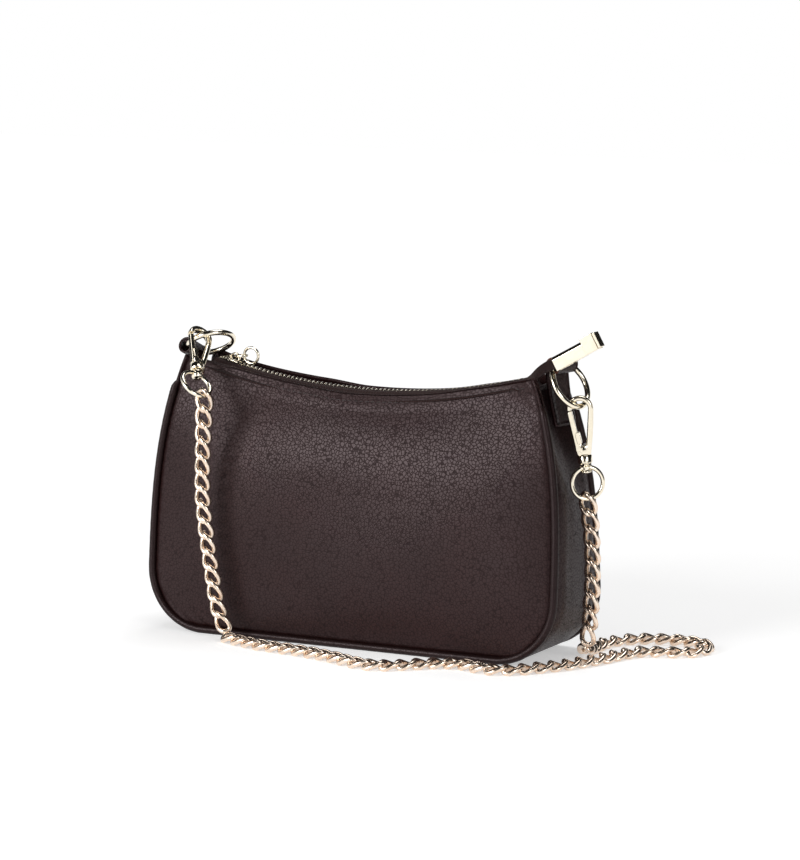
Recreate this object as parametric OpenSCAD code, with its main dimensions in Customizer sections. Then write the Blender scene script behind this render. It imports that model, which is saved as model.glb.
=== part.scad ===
// Small shoulder bag of pebbled leather with a zipped top and a detachable curb chain.
// X runs along the bag, Y to its back and Z up. The origin is the middle of the base,
// on the surface that the bag stands on. All sizes are in millimetres.

/* [Body] */
// Width of the body at its widest
body_w = 240; // [215:1:265]
// Height of the body at its two ends
end_h = 146; // [136:1:158]
// How far the top edge dips in the middle
top_dip = 15.5; // [10:0.5:20]
// Depth of the base
base_d = 62; // [56:1:74]
// Depth of the body at its top edge
top_d = 38; // [36:1:44]
// Radius of the bottom corners
corner_r = 34; // [26:1:42]
// How far each side leans in between its corner and the top
side_taper = 16; // [8:1:18]
// Thickness of the leather
leather_t = 1.4; // [1:0.1:1.8]
// How far each big panel swells out
panel_bulge = 8; // [3:0.5:11]
// Depth of the inward fold at the top of each end
crease_depth = 8; // [5:0.5:9]
// Diameter of the rolled piping
piping_dia = 4; // [3:0.2:5]
// How far below the top the piping starts
piping_drop = 18; // [12:1:26]

/* [Inside] */
// Thickness of the cloth lining
lining_t = 0.9; // [0.6:0.1:1.4]
// Width of the flat pocket on the back lining
pocket_w = 120; // [80:1:150]
// Height of the flat pocket
pocket_h = 70; // [50:1:85]
// How far the flat pocket stays below the middle of the top edge
pocket_drop = 14; // [12:1:24]
// Thickness of the flat pocket
pocket_t = 1.2; // [0.8:0.1:2]
// Thickness of the board that stiffens the base
board_t = 2; // [1:0.1:3]

/* [Zip] */
// Distance between neighbouring teeth of the two rows together
tooth_pitch = 2.5; // [2.4:0.1:3]
// Thickness of a tooth
tooth_t = 1.3; // [1:0.1:1.6]
// Width of one row of teeth, from the tape to the slit
tooth_reach = 2.4; // [2:0.1:2.8]
// Slit between the rows, which the wedge of the slider runs in
zip_slit = 0.9; // [0.8:0.1:1.2]
// Thickness of the tape
tape_t = 0.8; // [0.5:0.1:1]
// How far the line of the teeth stands above the leather edge
zip_rise = 1.6; // [1:0.1:2.5]
// How far each end of the teeth stops short of the corner of the body
zip_short = 17; // [14:1:24]
// Length of the slider
slider_l = 10; // [8:0.5:12]
// Thickness of each slider plate
slider_plate_t = 1.2; // [1:0.1:1.5]
// Outer diameter of the round puller
puller_od = 10; // [8:0.5:12]
// Wire of the round puller
puller_wire = 1.5; // [1.2:0.1:1.8]

/* [Tail clamp] */
// Length of the metal clamp on the tail of the zip
clamp_l = 28; // [22:1:32]
// Height of the clamp
clamp_h = 7.6; // [6:0.2:9]
// Thickness of the clamp
clamp_t = 4.6; // [4:0.2:6]
// Length of the thicker bar at the tip of the clamp
clamp_tip_l = 9; // [6:0.5:11]
// How steeply the tail rises
tail_slope = 29; // [20:1:32]

/* [Rings and tabs] */
// Outer diameter of the round rings
ring_od = 27.5; // [26:0.5:30]
// Wire of the round rings
ring_wire = 3; // [2.6:0.1:3.2]
// Width of the leather tabs
tab_w = 15; // [12:0.5:16]
// Length of the flat part of a tab
tab_leg = 24; // [18:1:28]
// How far the right ring leans out from hanging straight down
right_ring_angle = 30; // [25:1:35]
// How far the left ring is swung up and over the zip
left_ring_angle = 114; // [108:1:118]

/* [Snap hooks] */
// Width of a hook at its round head
hook_w = 13.6; // [13:0.1:15]
// Thickness of the flat hook
hook_t = 4; // [3.4:0.1:4.4]
// Width of the metal all round the hook's opening
hook_rim = 2.7; // [2.4:0.1:3]
// Distance from the ring's wire to the gate pin
gate_drop = 23; // [21:0.5:26]
// Diameter of the gate pin
gate_pin_dia = 1.6; // [1.2:0.1:2]
// Outer diameter of the swivel eye
eye_od = 18.6; // [17:0.2:21]
// Wire of the swivel eye
eye_wire = 2.3; // [2:0.1:2.6]
// Diameter of the swivel post
post_dia = 3; // [2.6:0.1:3.4]

/* [Chain] */
// Pitch of the curb links
link_pitch = 8.4; // [8.2:0.1:8.8]
// Wire of the curb links
link_wire = 2.2; // [1.8:0.1:2.3]
// Outside length of one link
link_l = 13.6; // [13.4:0.1:14]
// Outside width of one link
link_w = 9.7; // [9.4:0.1:10.4]
// How far each end of a link is twisted out of its plane
link_twist = 45; // [35:1:50]

/* [Hidden] */
// Gap between pieces that lie together
gap = 0.3;
// Overrun of every cut
over = 1;
// Steps of the shapes that are lofted over points
side_steps = 6;
corner_steps = 5;
base_steps = 4;
panel_steps = 12;
taper_power = 2.8;
$fn = 48;
wire_sides = 6;
piping_sides = 8;

leather_colour = [0.20, 0.13, 0.12];
lining_colour = [0.16, 0.11, 0.10];
tape_colour = [0.14, 0.09, 0.09];
gold = [0.90, 0.78, 0.58];
board_colour = [0.45, 0.38, 0.30];

half_top_w = body_w / 2 - side_taper;
piping_r = piping_dia / 2;
seam_inset = piping_dia + 1.5 * gap;
gusset_inset = piping_r / 2;
crease_start = end_h * 0.55;
zip_half_l = half_top_w - zip_short;

// The top edge is an arc, and the teeth run on a parallel arc with the same centre
top_r = (half_top_w * half_top_w + top_dip * top_dip) / (2 * top_dip);
arc_z = end_h - top_dip + top_r;
zip_r = top_r - zip_rise;

function smooth(t) = let (s = min(max(t, 0), 1)) s * s * (3 - 2 * s);
function unit(v) = v / norm(v);
function half_w(z) = z <= corner_r
    ? body_w / 2 - corner_r + sqrt(max(corner_r * corner_r - (corner_r - z) * (corner_r - z), 0))
    : body_w / 2 - side_taper * pow((z - corner_r) / (end_h - corner_r), taper_power);
function half_d(z) = (base_d - (base_d - top_d) * z / end_h) / 2;
function top_z(x) = arc_z - sqrt(top_r * top_r - x * x);
function crease(z) = crease_depth * smooth((z - crease_start) / (end_h - crease_start));
function turn_x(v, a) = [v.x, v.y * cos(a) - v.z * sin(a), v.y * sin(a) + v.z * cos(a)];
function turn_y(v, a) = [v.x * cos(a) + v.z * sin(a), v.y, v.z * cos(a) - v.x * sin(a)];
function turn_z(v, a) = [v.x * cos(a) - v.y * sin(a), v.x * sin(a) + v.y * cos(a), v.z];
function turned(v, a) = turn_z(turn_y(turn_x(v, a.x), a.y), a.z);

// A closed skin between two grids of points that have the same rows and columns
module slab(outer, inner) {
    rows = len(outer);
    cols = len(outer[0]);
    back = rows * cols;
    polyhedron(
        points = concat([for (r = outer) for (p = r) p], [for (r = inner) for (p = r) p]),
        faces = concat(
            [for (i = [0 : rows - 2], j = [0 : cols - 2], k = [0 : 1])
                let (a = i * cols + j)
                k == 0 ? [a, a + cols, a + cols + 1] : [a, a + cols + 1, a + 1]],
            [for (i = [0 : rows - 2], j = [0 : cols - 2], k = [0 : 1])
                let (a = back + i * cols + j)
                k == 0 ? [a, a + cols + 1, a + cols] : [a, a + 1, a + cols + 1]],
            [for (i = [0 : rows - 2], k = [0 : 1])
                let (a = i * cols, b = back + i * cols)
                k == 0 ? [a, b, b + cols] : [a, b + cols, a + cols]],
            [for (i = [0 : rows - 2], k = [0 : 1])
                let (a = (i + 1) * cols - 1, b = back + (i + 1) * cols - 1)
                k == 0 ? [a, b + cols, b] : [a, a + cols, b + cols]],
            [for (j = [0 : cols - 2], k = [0 : 1])
                k == 0 ? [j, j + 1, back + j + 1] : [j, back + j + 1, back + j]],
            [for (j = [0 : cols - 2], k = [0 : 1])
                let (a = (rows - 1) * cols + j, b = back + (rows - 1) * cols + j)
                k == 0 ? [a, b, b + 1] : [a, b + 1, a + 1]]));
}

// A round wire along a path; the ends are flat, and a closed path has none
module wire(path, r, sides, side_way, closed = false) {
    n = len(path);
    points = [for (i = [0 : n - 1])
        let (before = path[closed ? (i + n - 1) % n : max(i - 1, 0)],
             after = path[closed ? (i + 1) % n : min(i + 1, n - 1)],
             along = unit(after - before),
             a = unit(cross(along, side_way)),
             b = cross(a, along))
        for (k = [0 : sides - 1])
            path[i] + r * (cos(360 * k / sides) * a + sin(360 * k / sides) * b)];
    polyhedron(
        points = points,
        faces = concat(
            [for (i = [0 : closed ? n - 1 : n - 2], k = [0 : sides - 1], h = [0 : 1])
                let (a = i * sides + k, b = i * sides + (k + 1) % sides,
                     c = ((i + 1) % n) * sides + k, d = ((i + 1) % n) * sides + (k + 1) % sides)
                h == 0 ? [a, d, c] : [a, b, d]],
            closed ? [] : [[for (k = [sides - 1 : -1 : 0]) k],
                [for (k = [0 : sides - 1]) (n - 1) * sides + k]]));
}

// Rows of the seam between a big panel and the gusset, from the top of one end to the other
function half_seam(inset) = concat(
    [for (i = [0 : side_steps])
        let (z = end_h - (end_h - corner_r) * i / side_steps) [half_w(z) - inset, z]],
    [for (i = [1 : corner_steps])
        let (a = 90 * i / corner_steps)
        [body_w / 2 - corner_r + (corner_r - inset) * cos(a), corner_r - (corner_r - inset) * sin(a)]],
    [for (i = [1 : base_steps]) [(body_w / 2 - corner_r) * (1 - i / base_steps), inset]]);
function seam(inset) =
    let (h = half_seam(inset), n = len(h))
    concat([for (p = h) p], [for (i = [n - 2 : -1 : 0]) [-h[i][0], h[i][1]]]);

// One big panel: rows rise from the base, and the bottom corners follow the corner arc
function panel_swell(u, v) = panel_bulge * (1 - pow(abs(u), 3)) * pow(sin(180 * v), 0.7);
function panel_row(i) =
    let (in_corner = i <= corner_steps,
         a = 90 * i / corner_steps,
         s = (i - corner_steps) / side_steps,
         z = in_corner ? seam_inset + (corner_r - seam_inset) * (1 - cos(a))
                       : corner_r + s * (end_h - corner_r),
         w = in_corner ? body_w / 2 - corner_r + (corner_r - seam_inset) * sin(a)
                       : half_w(z) - seam_inset)
    [z, w, in_corner ? 0 : s];
function panel_grid(depth) =
    [for (i = [0 : corner_steps + side_steps])
        let (row = panel_row(i))
        [for (j = [0 : panel_steps])
            let (u = 2 * j / panel_steps - 1,
                 x = u * row[1],
                 z = row[2] > 0 ? corner_r + row[2] * (top_z(x) - corner_r) : row[0])
            [x, -half_d(z) + piping_r + depth
                - panel_swell(u, (z - seam_inset) / (end_h - seam_inset)), z]]];
module big_panel() {
    slab(panel_grid(0), panel_grid(leather_t));
}
module front_panel() {
    color(leather_colour) big_panel();
}
module back_panel() {
    color(leather_colour) mirror([0, 1, 0]) big_panel();
}

// The gusset is one strip round both ends and the base, folded inwards at its upper ends
gusset_cols_share = [-1, -0.5, 0, 0.5, 1];
gusset_dip = 7;
function gusset_x(y, z) =
    half_w(z) - gusset_inset - crease(z) * (1 - abs(y) / (half_d(z) - seam_inset));
function gusset_grid(depth) =
    let (s = seam(gusset_inset + depth), base = seam(depth))
    [for (i = [0 : len(s) - 1])
        let (z_flat = base[i][1], z = max(s[i][1], 0), side = sign(s[i][0]),
             y = half_d(z) - seam_inset,
             blend = smooth((corner_r - z_flat) / corner_r))
        [for (c = gusset_cols_share)
            [s[i][0] - side * crease(z) * (1 - abs(c)), c * y,
             s[i][1] + (z_flat - s[i][1]) * blend
                - gusset_dip * crease(z) / crease_depth * (1 - c * c)]]];
module gusset() {
    color(leather_colour) slab(gusset_grid(leather_t), gusset_grid(0));
}

// Rolled piping lies in the seam and stops below the top
module piping(side) {
    full = seam(piping_r);
    low = [for (p = full) if (p[1] <= end_h - piping_drop) p];
    path = [for (p = low) [p[0], side * (half_d(p[1]) - piping_r), p[1]]];
    wire(path, piping_r, piping_sides, [0, 1, 0]);
}
module front_piping() {
    color(leather_colour) piping(-1);
}
module back_piping() {
    color(leather_colour) piping(1);
}

// Cloth lining: an open bag inside the leather
lining_levels_share = [0, 0.06, 0.16, 0.4, 0.7, 0.86, 1];
lining_floor = leather_t + board_t + 2 * gap;
lining_drop = 3;
lining_ring_points = 20;
lining_squareness = 0.35;
function lining_ring(level, wall) =
    let (z0 = lining_floor + level * (end_h - lining_floor),
         inset = gusset_inset + leather_t + 4 * gap + wall,
         below = corner_r - z0 - (level == 0 ? wall : 0),
         w = below > 0 ? body_w / 2 - corner_r + sqrt(pow(corner_r - inset, 2) - below * below)
                : half_w(z0) - crease(z0) - inset)
    [for (k = [0 : lining_ring_points - 1])
        let (a = 360 * k / lining_ring_points,
             x = w * sign(cos(a)) * pow(abs(cos(a)), lining_squareness),
             z = level == 0 ? lining_floor + wall
                : corner_r > z0 ? z0
                : corner_r + (z0 - corner_r) / (end_h - corner_r) * (top_z(x) - lining_drop - corner_r),
             d = half_d(z) - piping_r - leather_t - gap - wall)
        [x, d * sign(sin(a)) * pow(abs(sin(a)), lining_squareness), z]];
module lining() {
    levels = len(lining_levels_share);
    rings = concat(
        [for (i = [0 : levels - 1]) lining_ring(lining_levels_share[i], 0)],
        [for (i = [levels - 1 : -1 : 0]) lining_ring(lining_levels_share[i], lining_t)]);
    n = lining_ring_points;
    color(lining_colour) polyhedron(
        points = [for (r = rings) for (p = r) p],
        faces = concat(
            [for (i = [0 : len(rings) - 2], k = [0 : n - 1], h = [0 : 1])
                let (a = i * n + k, b = i * n + (k + 1) % n)
                h == 0 ? [a, a + n, b + n] : [a, b + n, b]],
            [[for (k = [0 : n - 1]) k],
                [for (k = [n - 1 : -1 : 0]) (len(rings) - 1) * n + k]]));
}

// Flat pocket, sewn to the back wall of the lining
pocket_z = end_h - top_dip - pocket_drop - pocket_h;
pocket_corner = pocket_w / 15;
module rounded_plate(w, h, r) {
    hull() for (x = [-1, 1], y = [-1, 1])
        translate([x * (w / 2 - r), y * (h / 2 - r)]) circle(r, $fn = 24);
}
module inner_pocket() {
    wall_slope = atan((base_d - top_d) / 2 / end_h);
    mid_z = pocket_z + pocket_h / 2;
    wall_y = half_d(mid_z) - piping_r - leather_t - lining_t - 2 * gap;
    color(lining_colour) translate([0, wall_y, mid_z]) rotate([90 + wall_slope, 0, 0])
        linear_extrude(pocket_t) rounded_plate(pocket_w, pocket_h, pocket_corner);
}

// Board between the base leather and the lining
board_corner = board_t * 4;
module base_board() {
    color(board_colour) translate([0, 0, leather_t + gap]) linear_extrude(board_t)
        rounded_plate(body_w - 2 * corner_r, base_d - 2 * seam_inset - 2 * leather_t, board_corner);
}

// Places on the arc of the zip: the angle grows towards the right end
function arc_angle(x) = asin(x / zip_r);
module on_arc(angle) {
    translate([0, 0, arc_z]) rotate([0, -angle, 0]) translate([0, 0, -zip_r]) children();
}
slider_angle = arc_angle(-zip_half_l + slider_l / 2);
row_start = -zip_half_l + slider_l * 0.4;
row_end = zip_half_l - tooth_pitch * 2;

// One row of teeth; the back row is set half a pitch along. Its bead comes in short lengths
// of a few teeth each, so that the row stays as bendy as a real one and follows the arc
tooth_l = tooth_pitch * 0.42;
bead_w = tooth_reach * 0.45;
bead_teeth = 8;
module teeth_row(side) {
    step = tooth_pitch / zip_r * 180 / PI;
    first = arc_angle(row_start) + (side > 0 ? step / 2 : 0);
    count = floor((arc_angle(row_end) - first) / step);
    inner_y = zip_slit / 2;
    outer_y = inner_y + tooth_reach;
    for (i = [0 : count])
        on_arc(first + i * step)
            translate([-tooth_l / 2, side > 0 ? inner_y : -outer_y, -tooth_t / 2])
                cube([tooth_l, tooth_reach, tooth_t]);
    bead_in = tooth_t / 4;
    for (i = [0 : bead_teeth : count])
        translate([0, 0, arc_z]) rotate([90, 0, 0]) rotate([0, 0, -90 + first + (i - 0.25) * step])
            rotate_extrude(angle = (min(bead_teeth - 1, count - i) + 0.5) * step, $fn = 180)
                translate([zip_r - bead_in, side > 0 ? -outer_y : outer_y - bead_w])
                    square([2 * bead_in, bead_w]);
}
module zip_teeth_front() {
    color(gold) teeth_row(-1);
}
module zip_teeth_back() {
    color(gold) teeth_row(1);
}

// Each tape is a strip beside its row; past the zip it folds upright into the tail
tail_run = 2;
tail_x = zip_half_l + tail_run;
clamp_out = 7;
clamp_forward = 10.5;
clamp_up = 7.5;
clamp_start = [half_top_w + clamp_out, -clamp_forward, end_h + clamp_up];
clamp_wall = clamp_t / 4;
tape_in = zip_slit / 2 + tooth_reach + gap / 3;
tape_out = top_d / 2 - piping_r - leather_t - gap;
tape_edge_drop = 2.2;
tape_end_inset = 4;
tape_start = -half_top_w + crease_depth + tape_end_inset;
function tape_z(x) = arc_z - sqrt(zip_r * zip_r - x * x) + tape_t / 2;
tape_end_z = tape_z(tail_x);
tape_upright = 88;
fold_speed = 1.55;
tail_steps = 8;
flat_steps = 14;
function tape_row(side, t) = t <= 0
    ? let (x = tape_start + (tail_x - tape_start) * (1 + t), z = tape_z(x))
      [[x, side * tape_in, z], [x, side * (tape_in + tape_out) / 2, z - tape_edge_drop / 2],
       [x, side * tape_out, z - tape_edge_drop]]
    : let (x = tail_x + (clamp_start.x - tail_x) * t,
           fold = smooth(t * fold_speed),
           z = tape_end_z + (clamp_start.z + clamp_h * 0.36 - tape_end_z) * (0.35 * t + 0.65 * smooth(t)),
           split = tape_in * (1 - fold) + (tape_t + gap / 2) * fold,
           reach = (tape_out - tape_in) * (1 - fold) + clamp_h * 0.66 * fold,
           lay = [0, side * cos(tape_upright * fold), -sin(tape_upright * fold)],
           top = [x, clamp_start.y * smooth(t * fold_speed) + side * split, z])
      [top, top + lay * reach / 2 - [0, 0, tape_edge_drop / 2 * (1 - fold)],
       top + lay * reach - [0, 0, tape_edge_drop * (1 - fold)]];
function tape_thick(side, t) =
    let (turn = t <= 0 ? 0 : tape_upright * smooth(t * fold_speed))
    [0, -side * tape_t * sin(turn), -tape_t * cos(turn)];
function tape_grid(side, lower) =
    [for (i = [0 : flat_steps + tail_steps])
        let (t = i <= flat_steps ? i / flat_steps - 1 : (i - flat_steps) / tail_steps)
        [for (p = tape_row(side, t)) p + (lower ? tape_thick(side, t) : [0, 0, 0])]];
module zip_tape_front() {
    color(tape_colour) slab(tape_grid(-1, false), tape_grid(-1, true));
}
module zip_tape_back() {
    color(tape_colour) slab(tape_grid(1, true), tape_grid(1, false));
}

// Metal clips that stop the slider at both ends of the teeth
stop_l = tooth_pitch;
module stop_clip(x, side, w) {
    on_arc(arc_angle(x)) translate([-stop_l / 2, side - w / 2, -tooth_t / 2])
        cube([stop_l, w, tooth_t]);
}
stop_y = zip_slit / 2 + tooth_reach / 2;
module zip_top_stops() {
    color(gold) for (side = [-1, 1])
        stop_clip(-zip_half_l - stop_l, side * stop_y, tooth_reach);
}
module zip_bottom_stop() {
    color(gold) stop_clip(zip_half_l - stop_l / 2, 0, 2 * (zip_slit / 2 + tooth_reach));
}

// Slider: two plates joined by the wedge in the slit, with flanges and a bail on top
slider_w = 2 * (zip_slit / 2 + tooth_reach) + 2 * gap + 2 * slider_plate_t;
plate_z = tooth_t / 2 + gap;
flange_t = slider_plate_t;
wedge_t = zip_slit - 2 * gap / 1.5;
bail_wire = 1.2;
bail_r = 2.6;
pull_wire = 1.2;
link_z = plate_z + slider_plate_t + bail_r - bail_wire / 2 - pull_wire / 2 - gap / 2;
tape_slot = tape_t / 2 + 2 * gap;
module half_ring(r, wire_r) {
    rotate([90, 0, 0]) rotate_extrude(angle = 180) translate([r, 0]) circle(wire_r, $fn = 16);
}
module zip_slider() {
    color(gold) on_arc(slider_angle) {
        for (up = [0, 1]) mirror([0, 0, up]) {
            difference() {
                translate([-slider_l / 2, -slider_w / 2, plate_z])
                    cube([slider_l, slider_w, slider_plate_t]);
                for (side = [-1, 1])
                    translate([-slider_l / 2, side * slider_w / 2, plate_z - over]) rotate([0, 0, 45])
                        cube([slider_w / 5, slider_w / 5, slider_plate_t + 2 * over]);
            }
            for (side = [-1, 1])
                translate([-slider_l / 4, side * (slider_w / 2 - flange_t / 2) - flange_t / 2, tape_slot])
                    cube([slider_l * 0.7, flange_t, plate_z - tape_slot + slider_plate_t / 2]);
        }
        translate([-slider_l / 2 + gap, -wedge_t / 2, -plate_z - slider_plate_t / 2])
            cube([slider_l / 4, wedge_t, 2 * plate_z + slider_plate_t]);
        translate([0, 0, plate_z + slider_plate_t]) half_ring(bail_r, bail_wire / 2);
    }
}

// Puller: a flat oval link through the bail, and a round ring standing in the link
pull_link_l = 8;
pull_link_w = 5.6;
pull_rise = 17;
module oval_link(l, w, wire_d) {
    r = (w - wire_d) / 2;
    straight = l - w;
    for (end = [0, 1])
        translate([end * straight, 0, 0]) rotate([0, 0, end == 0 ? 90 : -90])
            rotate_extrude(angle = 180) translate([r, 0]) circle(wire_d / 2, $fn = 16);
    for (side = [-1, 1])
        translate([0, side * r, 0]) rotate([0, 90, 0]) cylinder(h = straight, d = wire_d, $fn = 16);
}
module pull_frame() {
    on_arc(slider_angle) translate([0, 0, link_z]) rotate([0, -pull_rise, 0]) children();
}
module zip_pull_link() {
    color(gold) pull_frame() translate([(pull_link_w - pull_wire) / 2, 0, 0])
        oval_link(pull_link_l, pull_link_w, pull_wire);
}
puller_reach = pull_link_l - pull_wire;
module zip_pull_ring() {
    ring_r = (puller_od - puller_wire) / 2;
    away = pull_wire / 2 + puller_wire / 2 + gap / 2;
    color(gold) pull_frame() translate([puller_reach - away + ring_r, 0, 0]) rotate([90, 0, 0])
        rotate_extrude() translate([ring_r, 0]) circle(puller_wire / 2, $fn = 20);
}

// Clamp that closes the tail: a folded plate with a thicker bar at its tip
module clamp_frame() {
    translate(clamp_start) rotate([0, -tail_slope, 0]) children();
}
clamp_bevel = clamp_t / 6;
module bevelled_bar(l, t, h, bevel) {
    rotate([90, 0, 90]) linear_extrude(l)
        polygon([for (s = [[1, 1], [-1, 1], [-1, -1], [1, -1]])
            for (k = s.x * s.y > 0 ? [0, 1] : [1, 0])
                [s.x * (t / 2 - (k == 0 ? 0 : bevel)), s.y * (h / 2 - (k == 0 ? bevel : 0))]]);
}
tape_slot_w = 4 * tape_t;
tail_in = clamp_l * 0.3;
screw_x_share = [0.16, 0.42];
screw_dia = 2;
screw_head_dia = 3.2;
screw_head_t = 0.8;
tip_grow = clamp_t * 0.3;
module zip_end_clamp() {
    color(gold) clamp_frame() difference() {
        union() {
            bevelled_bar(clamp_l - clamp_tip_l + over / 2, clamp_t, clamp_h, clamp_bevel);
            translate([clamp_l - clamp_tip_l, 0, tip_grow / 2])
                bevelled_bar(clamp_tip_l, clamp_t + tip_grow, clamp_h + tip_grow, clamp_bevel * 2);
        }
        translate([-over, -tape_slot_w / 2, -clamp_h / 2 - over])
            cube([tail_in + over, tape_slot_w, clamp_h - clamp_wall + over]);
        for (s = screw_x_share)
            translate([s * clamp_l, clamp_t, 0]) rotate([90, 0, 0])
                cylinder(h = clamp_t * 1.25, d = screw_dia + gap);
    }
}
module clamp_screws() {
    color(gold) clamp_frame() for (s = screw_x_share)
        translate([s * clamp_l, 0, 0]) rotate([-90, 0, 0]) {
            translate([0, 0, tape_slot_w / 2 + gap])
                cylinder(h = clamp_t / 2 - tape_slot_w / 2, d = screw_dia);
            translate([0, 0, clamp_t / 2 + gap / 3]) cylinder(h = screw_head_t, d = screw_head_dia);
        }
}

// Rings: each hangs from the fold of its tab, and the pivot lies inside the fold
ring_r = (ring_od - ring_wire) / 2;
fold_sag = ring_r - sqrt(ring_r * ring_r - tab_w * tab_w / 4);
pivot_to_centre = ring_r - fold_sag / 2;
fold_in = fold_sag / 2 + ring_wire / 2 / cos(asin(tab_w / 2 / ring_r)) + gap;
right_fold_out = 5;
right_fold_back = 1.1;
right_fold_up = 5.4;
left_fold_out = 2.5;
left_fold_forward = 1.7;
left_fold_up = 1;
right_pivot = [half_top_w + right_fold_out, right_fold_back, end_h + right_fold_up];
left_pivot = [-half_top_w - left_fold_out, -left_fold_forward, end_h + left_fold_up];
right_turn = [0, 0, -12];
left_turn = [-23, 0, 0];
module ring_frame(pivot, turn, lean) {
    translate(pivot) rotate(turn) rotate([0, -lean, 0]) children();
}
module round_ring() {
    translate([0, 0, -pivot_to_centre]) rotate([0, 90, 0])
        rotate_extrude() translate([ring_r, 0]) circle(ring_wire / 2, $fn = 24);
}
module ring_right() {
    color(gold) ring_frame(right_pivot, right_turn, right_ring_angle) round_ring();
}
module ring_left() {
    color(gold) ring_frame(left_pivot, left_turn, left_ring_angle) round_ring();
}

// Tab: a strip of leather folded round the wire of the ring. Both legs are sewn to the gusset:
// they slope from the fold to the seat, which lies on the gusset at the foot of the tab.
fold_out = fold_in + leather_t;
left_leg_share = 0.7;
module tab(out, up, turn, leg) {
    seat_z = end_h - leg;
    seat_x = gusset_x(tab_w / 2, seat_z) - half_top_w + gap + tab_w / 2 * abs(sin(turn.z));
    slope = atan((seat_x - out + fold_out) / (up + leg));
    difference() {
        union() {
            rotate([turn.x, 0, 0]) across(2 * fold_out, tab_w);
            rotate([0, -slope, 0]) translate([-fold_out, -tab_w / 2, -leg - up])
                cube([2 * leather_t, tab_w, leg + up]);
        }
        rotate([turn.x, 0, 0]) across(2 * fold_in, 2 * tab_w);
    }
}
module tab_right() {
    color(leather_colour) translate(right_pivot) rotate([0, 0, right_turn.z])
        tab(right_fold_out, right_fold_up, right_turn, tab_leg);
}
module tab_left() {
    color(leather_colour) translate(left_pivot) mirror([1, 0, 0])
        tab(left_fold_out, left_fold_up, left_turn, tab_leg * left_leg_share);
}

// Hooks hang from the rings; each frame starts at the wire of its ring
right_contact = right_pivot
    + turned(turn_y([0, 0, -pivot_to_centre - ring_r], -right_ring_angle), right_turn);
left_contact = left_pivot
    + turned(turn_y([0, -ring_r, -pivot_to_centre], -left_ring_angle), left_turn);
left_hook_turn = [-53, 27, 46];
module right_hook_frame() {
    translate(right_contact) rotate(right_hook_turn) children();
}
module left_hook_frame() {
    translate(left_contact) rotate(left_hook_turn) children();
}
// Outline of a hook: a big round head and a small round foot joined by straight sides
hook_head_r = hook_w / 2;
foot_r = hook_w * 0.27;
head_z = ring_wire / 2 + 5 * gap + hook_rim - hook_head_r;
foot_z = -gate_drop;
side_tilt = asin((hook_head_r - foot_r) / (head_z - foot_z));
hole_rise = hook_rim * 1.7;
hole_foot_r = foot_r + hole_rise * tan(side_tilt) - hook_rim;
function arc_points(c, r, from, to, steps) =
    [for (i = [0 : steps]) let (a = from + (to - from) * i / steps) [c.x + r * cos(a), c.y + r * sin(a)]];
function hook_points(r_head, r_foot, z_foot) = concat(
    arc_points([0, head_z], r_head, -side_tilt, 180 + side_tilt, 24),
    arc_points([0, z_foot], r_foot, 180 + side_tilt, 360 - side_tilt, 10));
module upright(t) {
    rotate([90, 0, 0]) translate([0, 0, -t / 2]) linear_extrude(t) children();
}
module across(d, l) {
    rotate([90, 0, 0]) translate([0, 0, -l / 2]) cylinder(h = l, d = d);
}

// The gate fills the left side and turns on a pin in the foot; its frame starts at the pin
pin_reach = foot_r - hook_rim / 2;
gate_l = (head_z - foot_z) * cos(side_tilt);
gate_t = hook_t - 2 * gap - hook_rim * 0.5;
root_r = hook_rim * 0.62;
root_z = hook_rim * 2;
knob_r = hook_rim * 0.4;
knob_at_share = 0.62;
gate_tip_turns = [4 : -2 : -8];
gate_swing = 17;
tip_corner_share = 0.995;
module gate_frame() {
    translate([-pin_reach * cos(side_tilt), 0, foot_z - pin_reach * sin(side_tilt)])
        rotate([0, -side_tilt, 0]) children();
}
module gate_window() {
    // Everything that the gate sweeps on the side: a strip that ends in an arc about the pin
    upright(hook_t + 2 * over) polygon(concat(
        [[-hook_rim * 1.6, root_r * 0.8], [hook_rim / 2 + gap, root_r * 0.8]],
        [for (a = gate_tip_turns) (gate_l + gap) * [sin(a), cos(a)]]));
}

// Swivel: a barrel under the foot holds the rivet head of the eye's post
post_play = gap / 2;
rivet_dia = post_dia * 1.5;
rivet_h = post_dia * 0.5;
barrel_wall = hook_rim * 0.45;
barrel_r = rivet_dia / 2 + gap + barrel_wall;
cavity_h = rivet_h + 2 * gap;
barrel_h = cavity_h + 2 * barrel_wall;
barrel_z = foot_z - foot_r * 0.45 - barrel_h;
spring_wire = 0.4;
spring_dia = 1.9;
spring_turns = 4;
spring_rings = 8;
spring_z = hook_rim * 1.15;
spring_l = foot_r * 0.55;
module hook_body() {
    difference() {
        union() {
            upright(hook_t) polygon(hook_points(hook_head_r, foot_r, foot_z));
            translate([0, 0, barrel_z]) cylinder(h = barrel_h + foot_r / 2, r = barrel_r);
        }
        upright(hook_t + 2 * over)
            polygon(hook_points(hook_head_r - hook_rim, hole_foot_r, foot_z + hole_rise));
        gate_frame() {
            gate_window();
            across(2 * (root_r + gap), gate_t + 2 * gap);
            // Room behind the root, so that the gate can swing in between the cheeks of the foot
            upright(gate_t + 2 * gap) polygon([[0, 0], [hook_rim / 2 + gap, 0],
                [(hook_rim / 2 + gap) / cos(gate_swing) + root_z * tan(gate_swing), root_z], [0, root_z]]);
            across(gate_pin_dia, hook_t + 2 * over);
            translate([0, 0, spring_z]) rotate([0, 90, 0])
                cylinder(h = spring_l + hook_rim + gap, d = spring_dia + gap);
        }
        translate([0, 0, barrel_z - over]) cylinder(h = barrel_h / 2 + over, d = post_dia + 2 * post_play);
        translate([0, 0, barrel_z + barrel_wall]) cylinder(h = cavity_h, d = rivet_dia + 2 * gap);
    }
}
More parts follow.
